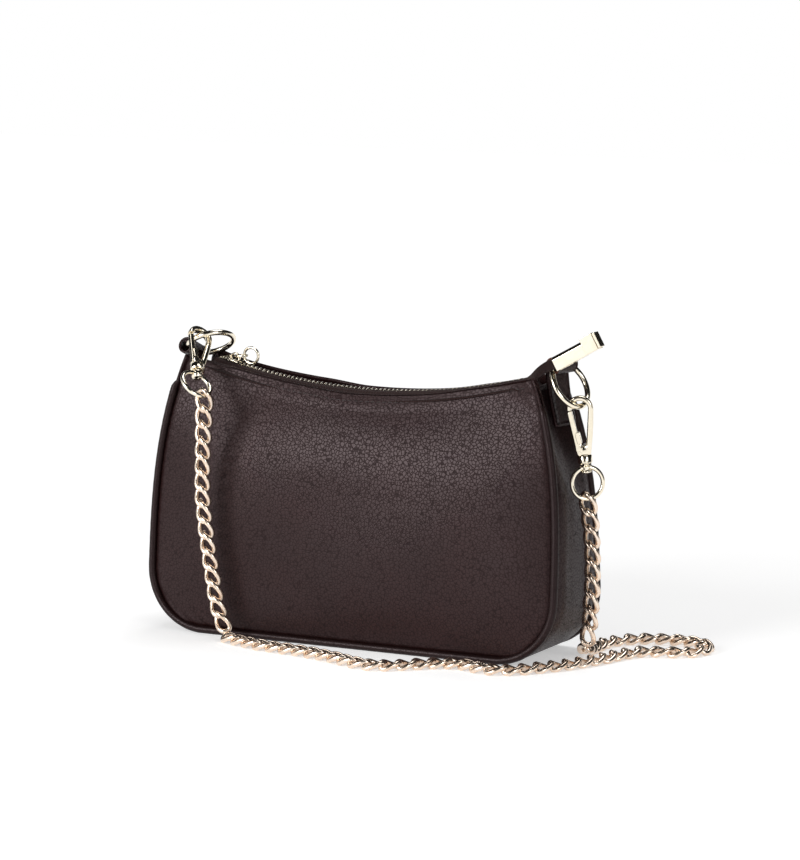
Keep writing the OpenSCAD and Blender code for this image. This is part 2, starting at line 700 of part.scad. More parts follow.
module hook_right() {
    color(gold) right_hook_frame() hook_body();
}
module hook_left() {
    color(gold) left_hook_frame() hook_body();
}
module gate() {
    gate_frame() difference() {
        union() {
            upright(gate_t) polygon([[-hook_rim / 2, 0], [hook_rim / 2, 0],
                [hook_rim / 2, gate_l * tip_corner_share], [0, gate_l],
                [-hook_rim / 2, gate_l * tip_corner_share]]);
            across(2 * root_r, gate_t);
            translate([-hook_rim / 2, 0, gate_l * knob_at_share]) across(2 * knob_r, gate_t);
        }
        across(gate_pin_dia + gap, gate_t + 2 * over);
    }
}
module gate_right() {
    color(gold) right_hook_frame() gate();
}
module gate_left() {
    color(gold) left_hook_frame() gate();
}
module gate_pin() {
    gate_frame() across(gate_pin_dia - gap / 6, hook_t);
}
module gate_pin_right() {
    color(gold) right_hook_frame() gate_pin();
}
module gate_pin_left() {
    color(gold) left_hook_frame() gate_pin();
}
// Coil that pushes the gate shut, in a bore of the foot behind it, drawn as pressed in
module gate_spring() {
    r = (spring_dia - spring_wire) / 2;
    from = hook_rim;
    turns = spring_turns * spring_rings;
    path = [for (i = [0 : turns])
        let (a = 360 * i / spring_rings)
        [from + spring_wire / 2 + (spring_l - spring_wire) * i / turns, r * cos(a), spring_z + r * sin(a)]];
    gate_frame() wire(path, spring_wire / 2, wire_sides, [1, 0, 0]);
}
module gate_spring_right() {
    color("silver") right_hook_frame() gate_spring();
}
module gate_spring_left() {
    color("silver") left_hook_frame() gate_spring();
}

// Swivel eye: a round ring on a collar, and the riveted post that turns in the barrel
eye_r = (eye_od - eye_wire) / 2;
collar_h = post_dia * 0.35;
collar_z = barrel_z - gap - collar_h;
eye_z = collar_z - eye_r - eye_wire / 4;
right_eye_turn = 20;
// The right hook leans out just far enough for its eye to hang clear of the gusset
right_eye_clear = 8.7;
right_hook_twist = 20;
right_hook_lean = asin((gusset_x(0, right_contact.z + eye_z) + right_eye_clear - right_contact.x) / eye_z);
right_hook_turn = [0, right_hook_lean, right_hook_twist];
module eye(turn) {
    rotate([0, 0, turn]) {
        translate([0, 0, eye_z]) rotate([90, 0, 0])
            rotate_extrude() translate([eye_r, 0]) circle(eye_wire / 2, $fn = 24);
        translate([0, 0, eye_z + eye_r])
            cylinder(h = collar_z - eye_z - eye_r + collar_h, r = post_dia * 0.8);
        translate([0, 0, collar_z])
            cylinder(h = collar_h + 2 * gap + barrel_wall + rivet_h / 2, d = post_dia);
        translate([0, 0, barrel_z + barrel_wall + gap]) cylinder(h = rivet_h, d = rivet_dia);
    }
}
module eye_right() {
    color(gold) right_hook_frame() eye(right_eye_turn);
}
module eye_left() {
    color(gold) left_hook_frame() eye(0);
}

// Curb chain: every link is an oval of round wire with its two ends twisted out of its plane.
// Each stretch follows a smooth route through points chosen by hand. A fall is placed from the
// link that hangs in its eye, with heights as shares of the drop to the floor; the stretch on
// the floor is placed from the front right corner of the base.
left_fall = [[0, 0, 1], [-0.5, 0, 0.92], [-2, 1, 0.8], [-2.5, 1, 0.68], [-2.5, 1, 0.57], [-1, 1, 0.46],
    [1, 1, 0.35], [3, 1, 0.26], [5, 1, 0.17], [8, 1, 0.09], [12, 1, 0.03]];
floor_lay = [[-182.5, -12, 0], [-170, -17, 0], [-157, -21, 0], [-143, -23, 0], [-129, -25, 0],
    [-117, -28, 0], [-105, -32, 0], [-93, -37, 0], [-82, -38, 0], [-72, -33, 0], [-63, -25, 0],
    [-53, -18, 0], [-42, -16, 0], [-31, -19, 0], [-20, -19, 0], [-11, -12, 0], [-4, -3, 0], [3, 7, 0],
    [9, 19, 0], [14, 32, 0], [18, 45, 0], [26, 56, 0], [37, 60, 0], [47, 66, 0], [50, 76, 0],
    [46, 85.5, 0], [36, 90, 0], [25, 90, 0], [14, 86.5, 0], [5, 79.5, 0], [-1, 69, 0], [-2, 57, 0],
    [0, 43, 1], [4, 29, 5]];
right_fall = [[0, 0, 1], [0.5, 0, 0.92], [1.5, 0, 0.84], [2.5, -0.5, 0.74], [3, -0.5, 0.62],
    [3, -0.5, 0.48], [2.5, -0.5, 0.36], [2, -0.5, 0.26], [1, -0.5, 0.17], [0, -0.5, 0.1]];
floor_clear = 0.4;
floor_z = link_wire + floor_clear;
floor_corner = [body_w / 2, -base_d / 2, floor_z];
left_facing = [0.46, -0.88, 0];
right_facing = [0.12, -0.99, 0];
route_fineness = 6;
link_rings = 10;
link_round_share = 0.85;

function spline(p, i, t) =
    let (n = len(p), a = p[max(i - 1, 0)], b = p[i], c = p[min(i + 1, n - 1)], d = p[min(i + 2, n - 1)])
    b + t / 2 * ((c - a) + t * ((2 * a - 5 * b + 4 * c - d) + t * (3 * b - a - 3 * c + d)));
function fine(p) = concat(
    [for (i = [0 : len(p) - 2], k = [0 : route_fineness - 1]) spline(p, i, k / route_fineness)],
    [p[len(p) - 1]]);
function run_lengths(f) =
    [for (i = 0, s = 0; i < len(f); s = s + (i + 1 < len(f) ? norm(f[i + 1] - f[i]) : 0), i = i + 1) s];
function along_route(f, runs, s) =
    let (i = max(0, min(len(f) - 2, len([for (r = runs) if (r <= s) 1]) - 1)))
    f[i] + (f[i + 1] - f[i]) * (s - runs[i]) / (runs[i + 1] - runs[i]);
function oval_share(c) = sign(c) * pow(abs(c), link_round_share);
function link_line(centre, along, facing) =
    let (flat = unit(facing - (facing * along) * along), side = cross(flat, along),
         half_l = (link_l - link_wire) / 2, half_w = (link_w - link_wire) / 2)
    [for (k = [0 : link_rings - 1])
        let (a = 360 * k / link_rings, twist = -link_twist * cos(a))
        centre + half_l * oval_share(cos(a)) * along
            + half_w * oval_share(sin(a)) * (cos(twist) * side + sin(twist) * flat)];
function link_skin(line, facing) =
    [for (k = [0 : link_rings - 1])
        let (next = line[(k + 1) % link_rings], before = line[(k + link_rings - 1) % link_rings],
             along = unit(next - before), a = unit(cross(along, facing)), b = cross(a, along))
        for (h = [0 : wire_sides - 1])
            line[k] + link_wire / 2 * (cos(360 * h / wire_sides) * a + sin(360 * h / wire_sides) * b)];
module chain(route, facing) {
    f = fine(route);
    runs = run_lengths(f);
    count = floor(runs[len(runs) - 1] / link_pitch);
    skins = [for (i = [0 : count - 1])
        let (s = (i + 0.5) * link_pitch, half = link_pitch / 2,
             along = unit(along_route(f, runs, s + half) - along_route(f, runs, s - half)))
        link_skin(link_line(along_route(f, runs, s), along, facing), facing)];
    ring = link_rings * wire_sides;
    polyhedron(
        points = [for (skin = skins) for (p = skin) p],
        faces = [for (i = [0 : count - 1], k = [0 : link_rings - 1], h = [0 : wire_sides - 1], half = [0, 1])
            let (a = i * ring + k * wire_sides + h, b = i * ring + k * wire_sides + (h + 1) % wire_sides,
                 c = i * ring + ((k + 1) % link_rings) * wire_sides + h,
                 d = i * ring + ((k + 1) % link_rings) * wire_sides + (h + 1) % wire_sides)
            half == 0 ? [a, d, c] : [a, b, d]]);
}
// Where the first link of a fall starts: half the overlap of two links above the lowest
// point of the eye that it hangs in
function fall_start(contact, hook_turn, eye_turn) =
    let (way = turned(turn_z([0, 1, 0], eye_turn), hook_turn),
         lowest = unit([0, 0, -1] + way.z * way),
         seat = contact + turned([0, 0, eye_z], hook_turn) + eye_r * lowest)
    seat + [0, 0, (eye_wire + link_wire) / 2 + 3 * gap - (link_l - link_wire - link_pitch) / 2];
function hang(start, points) = [for (p = points) [start.x + p.x, start.y + p.y, start.z * p.z]];
module chain_fall_left() {
    color(gold) chain(hang(fall_start(left_contact, left_hook_turn, 0), left_fall), left_facing);
}
module chain_floor() {
    color(gold) chain([for (p = floor_lay) floor_corner + p], [0, 0, 1]);
}
module chain_fall_right() {
    color(gold) chain(hang(fall_start(right_contact, right_hook_turn, right_eye_turn), right_fall),
        right_facing);
}

front_panel();
back_panel();
gusset();
front_piping();
back_piping();
lining();
inner_pocket();
base_board();
zip_tape_front();
zip_tape_back();
zip_teeth_front();
zip_teeth_back();
zip_top_stops();
zip_bottom_stop();
zip_slider();
zip_pull_link();
zip_pull_ring();
zip_end_clamp();
clamp_screws();
tab_right();
tab_left();
ring_right();
ring_left();
hook_right();
hook_left();
gate_right();
gate_left();
gate_pin_right();
gate_pin_left();
gate_spring_right();
gate_spring_left();
eye_right();
eye_left();
chain_fall_left();
chain_floor();
chain_fall_right();
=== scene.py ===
import bpy
import numpy as np
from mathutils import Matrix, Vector


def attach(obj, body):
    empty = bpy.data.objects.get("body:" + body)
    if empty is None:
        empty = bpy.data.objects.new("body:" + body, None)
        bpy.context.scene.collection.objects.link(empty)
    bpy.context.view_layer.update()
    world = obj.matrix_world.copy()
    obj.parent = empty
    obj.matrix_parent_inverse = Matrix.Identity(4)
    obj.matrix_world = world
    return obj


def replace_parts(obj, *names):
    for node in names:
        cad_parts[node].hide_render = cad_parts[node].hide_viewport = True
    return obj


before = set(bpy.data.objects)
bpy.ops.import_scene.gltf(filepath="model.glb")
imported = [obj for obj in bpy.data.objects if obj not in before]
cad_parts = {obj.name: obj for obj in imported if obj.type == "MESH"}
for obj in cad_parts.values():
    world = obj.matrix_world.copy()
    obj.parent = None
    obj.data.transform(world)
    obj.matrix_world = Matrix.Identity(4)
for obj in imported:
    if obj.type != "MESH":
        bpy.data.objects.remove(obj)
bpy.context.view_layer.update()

# The view: a long lens from the front right, a little above the bag. The bag stands on a plain
# white floor in soft light from large lamps. Dark cards stand round the set, as in a studio, and
# only bright metal shows them.
scene = bpy.context.scene
scene.view_settings.view_transform = "Standard"
aim = Vector((0.017, 0, 0.112))
turn, rise = np.radians(27.6), np.radians(8.5)
back = Vector((np.sin(turn) * np.cos(rise), -np.cos(turn) * np.cos(rise), np.sin(rise)))
camera = bpy.data.objects.new("camera", bpy.data.cameras.new("camera"))
camera.data.lens, camera.data.clip_end = 161.2, 30
camera.location = aim + back * 2
camera.rotation_mode = "QUATERNION"
camera.rotation_quaternion = back.to_track_quat("Z", "Y")
scene.collection.objects.link(camera)
scene.camera = camera


def lamp(name, place, size, watts):
    """A square lamp at a place in metres that looks at the middle of the bag."""
    light = bpy.data.lights.new(name, "AREA")
    light.shape, light.size, light.energy = "SQUARE", size, watts
    stand = bpy.data.objects.new(name, light)
    stand.location = place
    stand.rotation_mode = "QUATERNION"
    stand.rotation_quaternion = (Vector(place) - Vector((0, 0, 0.08))).to_track_quat("Z", "Y")
    scene.collection.objects.link(stand)


lamp("key_lamp", (-0.9, -1.95, 0.85), 1.15, 39)
lamp("side_lamp", (1.9, -1.1, 0.8), 0.7, 9)
lamp("top_lamp", (0.1, 0.6, 2.0), 1.0, 13)


def finish(name, colour, rough, metal=0.0, sheen=0.0):
    """A material and its shader. The functions below find the nodes through the shader, or
    through the socket that they feed."""
    made = bpy.data.materials.new(name)
    made.use_nodes = True
    shader = made.node_tree.nodes["Principled BSDF"]
    shader.inputs["Base Color"].default_value = (*colour, 1)
    for socket, number in (("Roughness", rough), ("Metallic", metal), ("Sheen Weight", sheen)):
        shader.inputs[socket].default_value = number
    return made, shader


def feed(value, socket):
    """Links an output of one node to a socket of another."""
    socket.id_data.links.new(value, socket)


def maths(kind, first, second=None):
    """One step of arithmetic on an output; the second term is an output or a number."""
    made = first.id_data.nodes.new("ShaderNodeMath")
    made.operation = kind
    feed(first, made.inputs[0])
    if isinstance(second, bpy.types.NodeSocket):
        feed(second, made.inputs[1])
    elif second is not None:
        made.inputs[1].default_value = second
    return made.outputs[0]


def between(value, low, high, socket, start=0.0, end=1.0):
    """Carries a pattern to a socket as numbers between low and high."""
    spread = socket.id_data.nodes.new("ShaderNodeMapRange")
    feed(value, spread.inputs["Value"])
    for name, number in (("From Min", start), ("From Max", end), ("To Min", low), ("To Max", high)):
        spread.inputs[name].default_value = number
    feed(spread.outputs["Result"], socket)
    return spread


def tint(value, stops, socket):
    """A pattern picks a colour from stops of (place, colour)."""
    ramp = socket.id_data.nodes.new("ShaderNodeValToRGB")
    feed(value, ramp.inputs["Fac"])
    for stop, (place, colour) in zip(ramp.color_ramp.elements, stops):
        stop.position, stop.color = place, (*colour, 1)
    feed(ramp.outputs["Color"], socket)


def grain(shader, scale, detail, rough=0.5):
    """A noise that lies still on the piece, so many to the metre."""
    where = shader.id_data.nodes.new("ShaderNodeTexCoord")
    noise = shader.id_data.nodes.new("ShaderNodeTexNoise")
    for name, number in (("Scale", scale), ("Detail", detail), ("Roughness", rough)):
        noise.inputs[name].default_value = number
    feed(where.outputs["Object"], noise.inputs["Vector"])
    return noise.outputs


def dents(height, depth, shader, under=None):
    """A pattern of heights between 0 and 1 becomes relief of the given depth in metres."""
    bump = shader.id_data.nodes.new("ShaderNodeBump")
    bump.inputs["Distance"].default_value = depth
    feed(height, bump.inputs["Height"])
    if under:
        feed(under.outputs["Normal"], bump.inputs["Normal"])
    feed(bump.outputs["Normal"], shader.inputs["Normal"])
    return bump


def seen_white(dark, socket):
    """Full light for rays that come from the camera, from gloss or through glass, and a darker
    one for all others."""
    path = socket.id_data.nodes.new("ShaderNodeLightPath").outputs
    direct = maths("MAXIMUM", path["Is Camera Ray"], path["Is Glossy Ray"])
    return between(maths("MAXIMUM", direct, path["Is Transmission Ray"]), dark, 1.0, socket)


world = bpy.data.worlds.new("studio")
scene.world = world
world.use_nodes = True
sky = world.node_tree.nodes["Background"]
sky.inputs["Color"].default_value = (1, 1, 1, 1)
seen_white(0.3, sky.inputs["Strength"])


def put(name, points, faces, material, uv=None):
    """Points in millimetres and faces of point numbers become a mesh in metres. A closed mesh
    whose volume comes out negative is turned, so that its faces point outwards."""
    points = np.asarray(points, float).reshape(-1, 3)
    faces = [list(map(int, f)) for f in faces]
    fan = np.array([(f[0], f[k], f[k + 1]) for f in faces for k in range(1, len(f) - 1)])
    a, b, c = (points[fan[:, k]] - points.mean(0) for k in range(3))
    if np.einsum("ij,ij->i", a, np.cross(b, c)).sum() < 0:
        faces = [f[::-1] for f in faces]
    mesh = bpy.data.meshes.new(name)
    mesh.from_pydata((points / 1000).tolist(), [], faces)
    if uv is not None:
        layer = mesh.uv_layers.new(name="lay")
        corner = np.zeros(len(mesh.loops), dtype=np.int32)
        mesh.loops.foreach_get("vertex_index", corner)
        layer.data.foreach_set("uv", np.asarray(uv, float).reshape(-1, 2)[corner].ravel())
    mesh.shade_smooth()
    mesh.materials.append(material)
    made = bpy.data.objects.new(name, mesh)
    scene.collection.objects.link(made)
    return made


def weave(rows, cols, around=False, closed=False):
    """Four-sided faces between the points of a grid. Around joins the last column to the first,
    and closed joins the last row to the first."""
    i = np.arange(rows if closed else rows - 1)[:, None]
    j = np.arange(cols if around else cols - 1)[None, :]
    up, on = (i + 1) % rows, (j + 1) % cols
    return np.stack([i * cols + j, up * cols + j, up * cols + on, i * cols + on], -1).reshape(-1, 4)


# The floor takes shadows near the bag, and fades to plain white light further off, in metres
NEAR, FAR = 0.3, 1.0
floor_finish, shader = finish("floor", (0.8, 0.8, 0.8), 0.9)
shader.inputs["Emission Color"].default_value = (1, 1, 1, 1)
shown = seen_white(0.0, shader.inputs["Emission Strength"])
where = shader.id_data.nodes.new("ShaderNodeTexCoord")
reach = shader.id_data.nodes.new("ShaderNodeVectorMath")
reach.operation = "LENGTH"
feed(where.outputs["Object"], reach.inputs[0])
between(reach.outputs["Value"], 0.42, 1.0, shown.inputs["To Max"], NEAR, FAR)
tint(reach.outputs["Value"], [(NEAR, (0.8, 0.8, 0.8)), (FAR, (0, 0, 0))],
     shader.inputs["Base Color"])
ground = np.array([[-3000, -3000, 0], [3000, -3000, 0], [3000, 3000, 0], [-3000, 3000, 0]])
put("floor", ground, [[0, 1, 2, 3]], floor_finish)
card_finish = finish("dark_card", (0.02, 0.02, 0.02), 1.0)[0]
cards = np.array([
    [[-3000, -3000, 2600], [3000, -3000, 2600], [3000, 3000, 2600], [-3000, 3000, 2600]],
    [[-3000, -2900, 1100], [3000, -2900, 1100], [3000, -2900, 2600], [-3000, -2900, 2600]],
    [[2900, -1500, 30], [2900, 2900, 30], [2900, 2900, 2600], [2900, -1500, 2600]],
    [[-2900, -900, 500], [-2900, 2900, 500], [-2900, 2900, 2600], [-2900, -900, 2600]],
    [[-2900, 2900, 700], [2900, 2900, 700], [2900, 2900, 2600], [-2900, 2900, 2600]],
    [[300, -2950, 30], [1700, -2950, 30], [1700, -2950, 1100], [300, -2950, 1100]]])
dark_cards = put("dark_cards", cards, np.arange(24).reshape(6, 4), card_finish)
for rays in ("visible_camera", "visible_diffuse", "visible_shadow", "visible_transmission"):
    setattr(dark_cards, rays, False)

# The chain: a curb chain of rose-gold plated wire. Each link is an oval whose two ends are
# twisted out of its plane, so that the links lie flat and dense. It hangs in the two swivel eyes
# and lies on the floor round the front and the right end of the bag.
PITCH, WIRE, LINK_L, LINK_W = 8.4, 2.65, 13.8, 9.7
TWIST, SLANT = np.radians(50), 0.2


def unit(v):
    """Vectors of length one."""
    return v / np.maximum(np.linalg.norm(v, axis=-1, keepdims=True), 1e-12)


def full_turn(count, start=0.0):
    """Angles spread evenly round a circle; start shifts them by a part of a step."""
    return (np.arange(count) + start) / count * 2 * np.pi


def route(points, steps=6):
    """A smooth line through points: between two of them it bends as their neighbours ask."""
    p = np.asarray(points, float)
    at = np.arange(len(p) - 1)
    a, b, c, d = (p[np.clip(at + k, 0, len(p) - 1)][:, None] for k in (-1, 0, 1, 2))
    t = (np.arange(steps) / steps)[None, :, None]
    bend = b + t / 2 * ((c - a) + t * ((2 * a - 5 * b + 4 * c - d) + t * (3 * b - a - 3 * c + d)))
    return np.vstack([bend.reshape(-1, 3), p[-1:]])


def along(line, s):
    """Places at the distances s along a line of points."""
    run = np.r_[0, np.cumsum(np.linalg.norm(np.diff(line, axis=0), axis=1))]
    return np.stack([np.interp(s, run, line[:, k]) for k in range(3)], -1)


def rounds(line, facing, radius, sides):
    """Circles of points round a closed line: at each of its points the circle stands across
    the line. The line's points are the last axis but one."""
    way = unit(np.roll(line, -1, -2) - np.roll(line, 1, -2))
    a = unit(np.cross(way, facing))
    b = np.cross(a, way)
    turn = full_turn(sides)
    return line[..., None, :] + radius * (np.cos(turn)[:, None] * a[..., None, :]
                                          + np.sin(turn)[:, None] * b[..., None, :])


def oval(c, power=0.85):
    """A cosine or sine pressed outwards: the lower the power, the squarer the circle."""
    return np.sign(c) * np.abs(c) ** power


def curb_chain(name, points, facing, seed, swivel):
    """Links along a route: link i stands at i + 1/2 pitches, its length follows the route with a
    slant, and its two ends are twisted by the cosine of the angle round the oval. The stretch
    swivels below its first links, and each link is rolled by a hair, as no two hang alike."""
    rings, sides = 24, 9
    line = route(points)
    length = np.linalg.norm(np.diff(line, axis=0), axis=1).sum()
    count = int(length / PITCH)
    s = (np.arange(count) + 0.5) * PITCH
    centre = along(line, s)
    way = unit(along(line, s + PITCH / 2) - along(line, s - PITCH / 2))
    flat = unit(facing - (way @ facing)[:, None] * way)
    across = np.cross(flat, way)
    roll = (np.random.default_rng(seed).uniform(-0.05, 0.05, count)
            + np.radians(swivel) * np.clip(np.arange(count) / 2.5, 0, 1))[:, None]
    flat, across = (np.cos(roll) * flat + np.sin(roll) * across,
                    np.cos(roll) * across - np.sin(roll) * flat)
    a = full_turn(rings)
    twist = -TWIST * np.cos(a)
    spread = np.cos(twist)[:, None] * across[:, None] + np.sin(twist)[:, None] * flat[:, None]
    along_it = way[:, None] + SLANT * across[:, None]
    ovals = (centre[:, None] + (LINK_L - WIRE) / 2 * oval(np.cos(a))[:, None] * along_it
             + (LINK_W - WIRE) / 2 * oval(np.sin(a))[:, None] * spread)
    skins = rounds(ovals, np.asarray(facing, float), WIRE / 2, sides)
    one = weave(rings, sides, around=True, closed=True)
    faces = (one[None] + (np.arange(count) * rings * sides)[:, None, None]).reshape(-1, 4)
    made = put(name, skins, faces, chain_gold)
    return made, line / 1000, count * PITCH / 1000


def plated(name, colour, dull, rough, worn):
    """Plated metal: the colour clouds towards a duller tone, fine scratches and wiping marks
    change the gloss, and faint dents move the reflections."""
    made, shader = finish(name, colour, rough, 1.0)
    clouds, marks, waves = grain(shader, 160, 3), grain(shader, 2300, 4, 0.7), grain(shader, 420, 1)
    tint(clouds["Fac"], [(0.35, colour), (0.75, dull)], shader.inputs["Base Color"])
    between(marks["Fac"], rough, worn, shader.inputs["Roughness"], 0.35, 0.75)
    dents(waves["Fac"], 0.00003, shader)
    return made


chain_gold = plated("chain_gold", (0.90, 0.77, 0.65), (0.80, 0.61, 0.47), 0.2, 0.34)
left_start = np.array([-75.7258, -42.0258, 130.766])
right_start = np.array([124.426, -0.1257, 85.7586])
left_drop = np.array([
    [0, 0, 1], [-0.5, 0, 0.92], [-2, 1, 0.8], [-2.5, 1, 0.68], [-2.5, 1, 0.57], [-1, 1, 0.46],
    [1, 1, 0.35], [3, 1, 0.26], [5, 1, 0.17], [8, 1, 0.09], [12, 1, 0.03]])
right_drop = np.array([
    [0, 0, 1], [0.5, 0, 0.92], [1.5, 0, 0.84], [2.5, -0.5, 0.74], [3, -0.5, 0.62],
    [3, -0.5, 0.48], [2.5, -0.5, 0.36], [2, -0.5, 0.26], [1, -0.5, 0.17], [0, -0.5, 0.1]])
floor_lay = np.array([
    [-182.5, -12, 0], [-170, -17, 0], [-157, -21, 0], [-143, -23, 0], [-129, -25, 0],
    [-117, -28, 0], [-105, -32, 0], [-93, -37, 0], [-82, -38, 0], [-72, -33, 0], [-63, -25, 0],
    [-53, -18, 0], [-42, -16, 0], [-31, -19, 0], [-20, -19, 0], [-11, -12, 0], [-4, -3, 0],
    [3, 7, 0], [9, 19, 0], [14, 32, 0], [18, 45, 0], [26, 56, 0], [37, 60, 0], [47, 66, 0],
    [50, 76, 0], [46, 85.5, 0], [36, 90, 0], [25, 90, 0], [14, 86.5, 0], [5, 79.5, 0],
    [-1, 69, 0], [-2, 57, 0], [0, 43, 1], [4, 29, 5]]) + [120, -31, 2.6]
for name, points, facing, body, seed, swivel in (
        ("left_chain", left_start * [1, 1, 0] + left_drop * [1, 1, left_start[2]],
         [0.46, -0.88, 0], "hook_left", 3, -40),
        ("floor_chain", floor_lay, [0, 0, 1], "bag", 4, 0),
        ("right_chain", right_start * [1, 1, 0] + right_drop * [1, 1, right_start[2]],
         [0.12, -0.99, 0], "hook_right", 5, -22)):
    stretch, line, length = curb_chain(name, points, np.array(facing), seed, swivel)
    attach(stretch, body)
    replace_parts(stretch, {"left_chain": "chain_fall_left", "floor_chain": "chain_floor",
                          "right_chain": "chain_fall_right"}[name])

# The two big panels: supple pebbled leather, cut to one outline and sewn over the piping all
# round. They swell with what is inside, sag a little, and pucker by a hair along the seam. The
# top edge is turned in and top-stitched with thread.
WIDE, HIGH, DIP, BASE, TOP, CORNER, TAPER = 240, 146, 15.5, 62, 38, 34, 16
SEAM, LEATHER, SWELL, PIPE = 4.45, 1.4, 8, 2
SEAM_IN, ROUND, LEAN_FROM = 2.3, 0.24, 84
TOP_HALF = WIDE / 2 - TAPER
ARC = (TOP_HALF ** 2 + DIP ** 2) / (2 * DIP)
ARC_Z = HIGH - DIP + ARC


def half_wide(z):
    """Half the width at a height: a round corner below, and above it a side that leans in."""
    low = WIDE / 2 - CORNER + np.sqrt(np.maximum(CORNER ** 2 - (CORNER - z) ** 2, 0))
    lean = TAPER * np.clip((z - CORNER) / (HIGH - CORNER), 0, 2) ** 2.8
    return np.where(z <= CORNER, low, WIDE / 2 - lean)


def half_deep(z):
    """Half the depth, which grows evenly narrower towards the top."""
    return (BASE - (BASE - TOP) * z / HIGH) / 2


def top_edge(x):
    """The height of the top edge, an arc that dips in the middle."""
    return ARC_Z - np.sqrt(ARC ** 2 - x ** 2)


def ease(t):
    """A number from 0 to 1 that starts and stops gently."""
    t = np.clip(t, 0, 1)
    return t * t * (3 - 2 * t)


def lean_in(share, z, most=10.5, power=1.5):
    """How far the top leans in to the zip: most in the middle of the bag, and nothing at its
    ends, where the share of the width is 1."""
    return most * (1 - share ** 4) * ease((z - LEAN_FROM) / (HIGH - LEAN_FROM)) ** power


def panel(u, s):
    """Points of the front panel. u runs from end to end, and s from the base up: first round
    the bottom corner, then up to the top edge. The swell is greatest in the middle, the top
    leans in to the zip, and near the seam the leather turns in, with small puckers."""
    u, s = np.broadcast_arrays(u, s)
    turn = np.clip(s / ROUND, 0, 1) * np.pi / 2
    up = np.clip((s - ROUND) / (1 - ROUND), 0, 1)
    z = np.where(s < ROUND, SEAM_IN + (CORNER - SEAM_IN) * (1 - np.cos(turn)),
                 CORNER + up * (HIGH - CORNER))
    w = np.where(s < ROUND, WIDE / 2 - CORNER + (CORNER - SEAM_IN) * np.sin(turn),
                 half_wide(z) - SEAM_IN)
    x = u * w
    z = np.where(s < ROUND, z, CORNER + up * (top_edge(x) - CORNER))
    v = np.clip((z - SEAM_IN) / (HIGH - SEAM_IN), 0, 1)
    rim = np.minimum((1 - np.abs(u)) * w, z - SEAM_IN)
    lean = lean_in(u, z, 9.5, 1.6)
    z = z + up ** 8 * (1 - u ** 4) * (0.3 + 1.2 * ease((-8 - x) / 25) + 0.8 * ease((x - 42) / 25))
    swell = SWELL * (1 - np.abs(u) ** 3) * np.sin(np.pi * v) ** 0.7
    slack = ease(rim / 30) * (0.55 * np.sin(x / 17 + 0.8 * np.sin(z / 21)) * np.sin(z / 33 + 0.6)
                              + 0.5 * np.sin(x / 43 - z / 26 + 1.1))
    pucker = 0.16 * np.exp(-((rim - 4) / 3.5) ** 2) * np.sin(x / 1.35 + z / 1.1)
    tuck = 1.9 * np.exp(-(rim / 2.1) ** 2)
    y = -half_deep(z) + PIPE + LEATHER / 2 - swell - slack - pucker + tuck + lean
    return np.stack([x, y, z], -1)


RIM_STEPS = 4


def hide(sheet, thick):
    """A grid of points becomes a closed skin: half the thickness to each side along the normal,
    and a half circle all round the rim. Returns its points, its faces with those of the rim last,
    and the grid point that each point comes from."""
    rows, cols = sheet.shape[:2]
    n = unit(np.cross(np.gradient(sheet, axis=1), np.gradient(sheet, axis=0)))
    half = np.broadcast_to(np.asarray(thick, float) / 2, (rows, cols))[..., None]
    grid = np.arange(rows * cols).reshape(rows, cols)
    loop = np.r_[grid[0, :-1], grid[:-1, -1], grid[-1, :0:-1], grid[:0:-1, 0]]
    rim, rim_n, rim_half = (v.reshape(-1, v.shape[-1])[loop] for v in (sheet, n, half))
    out = unit(np.cross(np.roll(rim, -1, 0) - np.roll(rim, 1, 0), rim_n))
    middle = sheet.reshape(-1, 3).mean(0)
    if np.einsum("ij,ij->", out, rim - middle) < 0:
        out = -out
    a = (np.arange(1, RIM_STEPS) / RIM_STEPS * np.pi)[:, None, None]
    rings = rim + rim_half * (np.cos(a) * rim_n + np.sin(a) * out)
    points = np.vstack([(sheet + half * n).reshape(-1, 3), (sheet - half * n).reshape(-1, 3),
                        rings.reshape(-1, 3)])
    face = weave(rows, cols)
    m, k = len(loop), rows * cols
    between_them = 2 * k + np.arange((RIM_STEPS - 1) * m).reshape(-1, m)
    loops = np.vstack([loop, between_them, k + loop])
    strips = np.stack([loops[:-1], loops[1:], np.roll(loops[1:], -1, 1),
                       np.roll(loops[:-1], -1, 1)], -1).reshape(-1, 4)
    first = (face == loop[0]).any(1).argmax()
    walk = face[first].tolist()
    same = walk[(walk.index(loop[0]) + 1) % 4] == loop[1]
    source = np.r_[np.arange(k), np.arange(k), np.tile(loop, RIM_STEPS - 1)]
    return points, np.vstack([face, face[:, ::-1] + k, strips[:, ::-1] if same else strips]), source


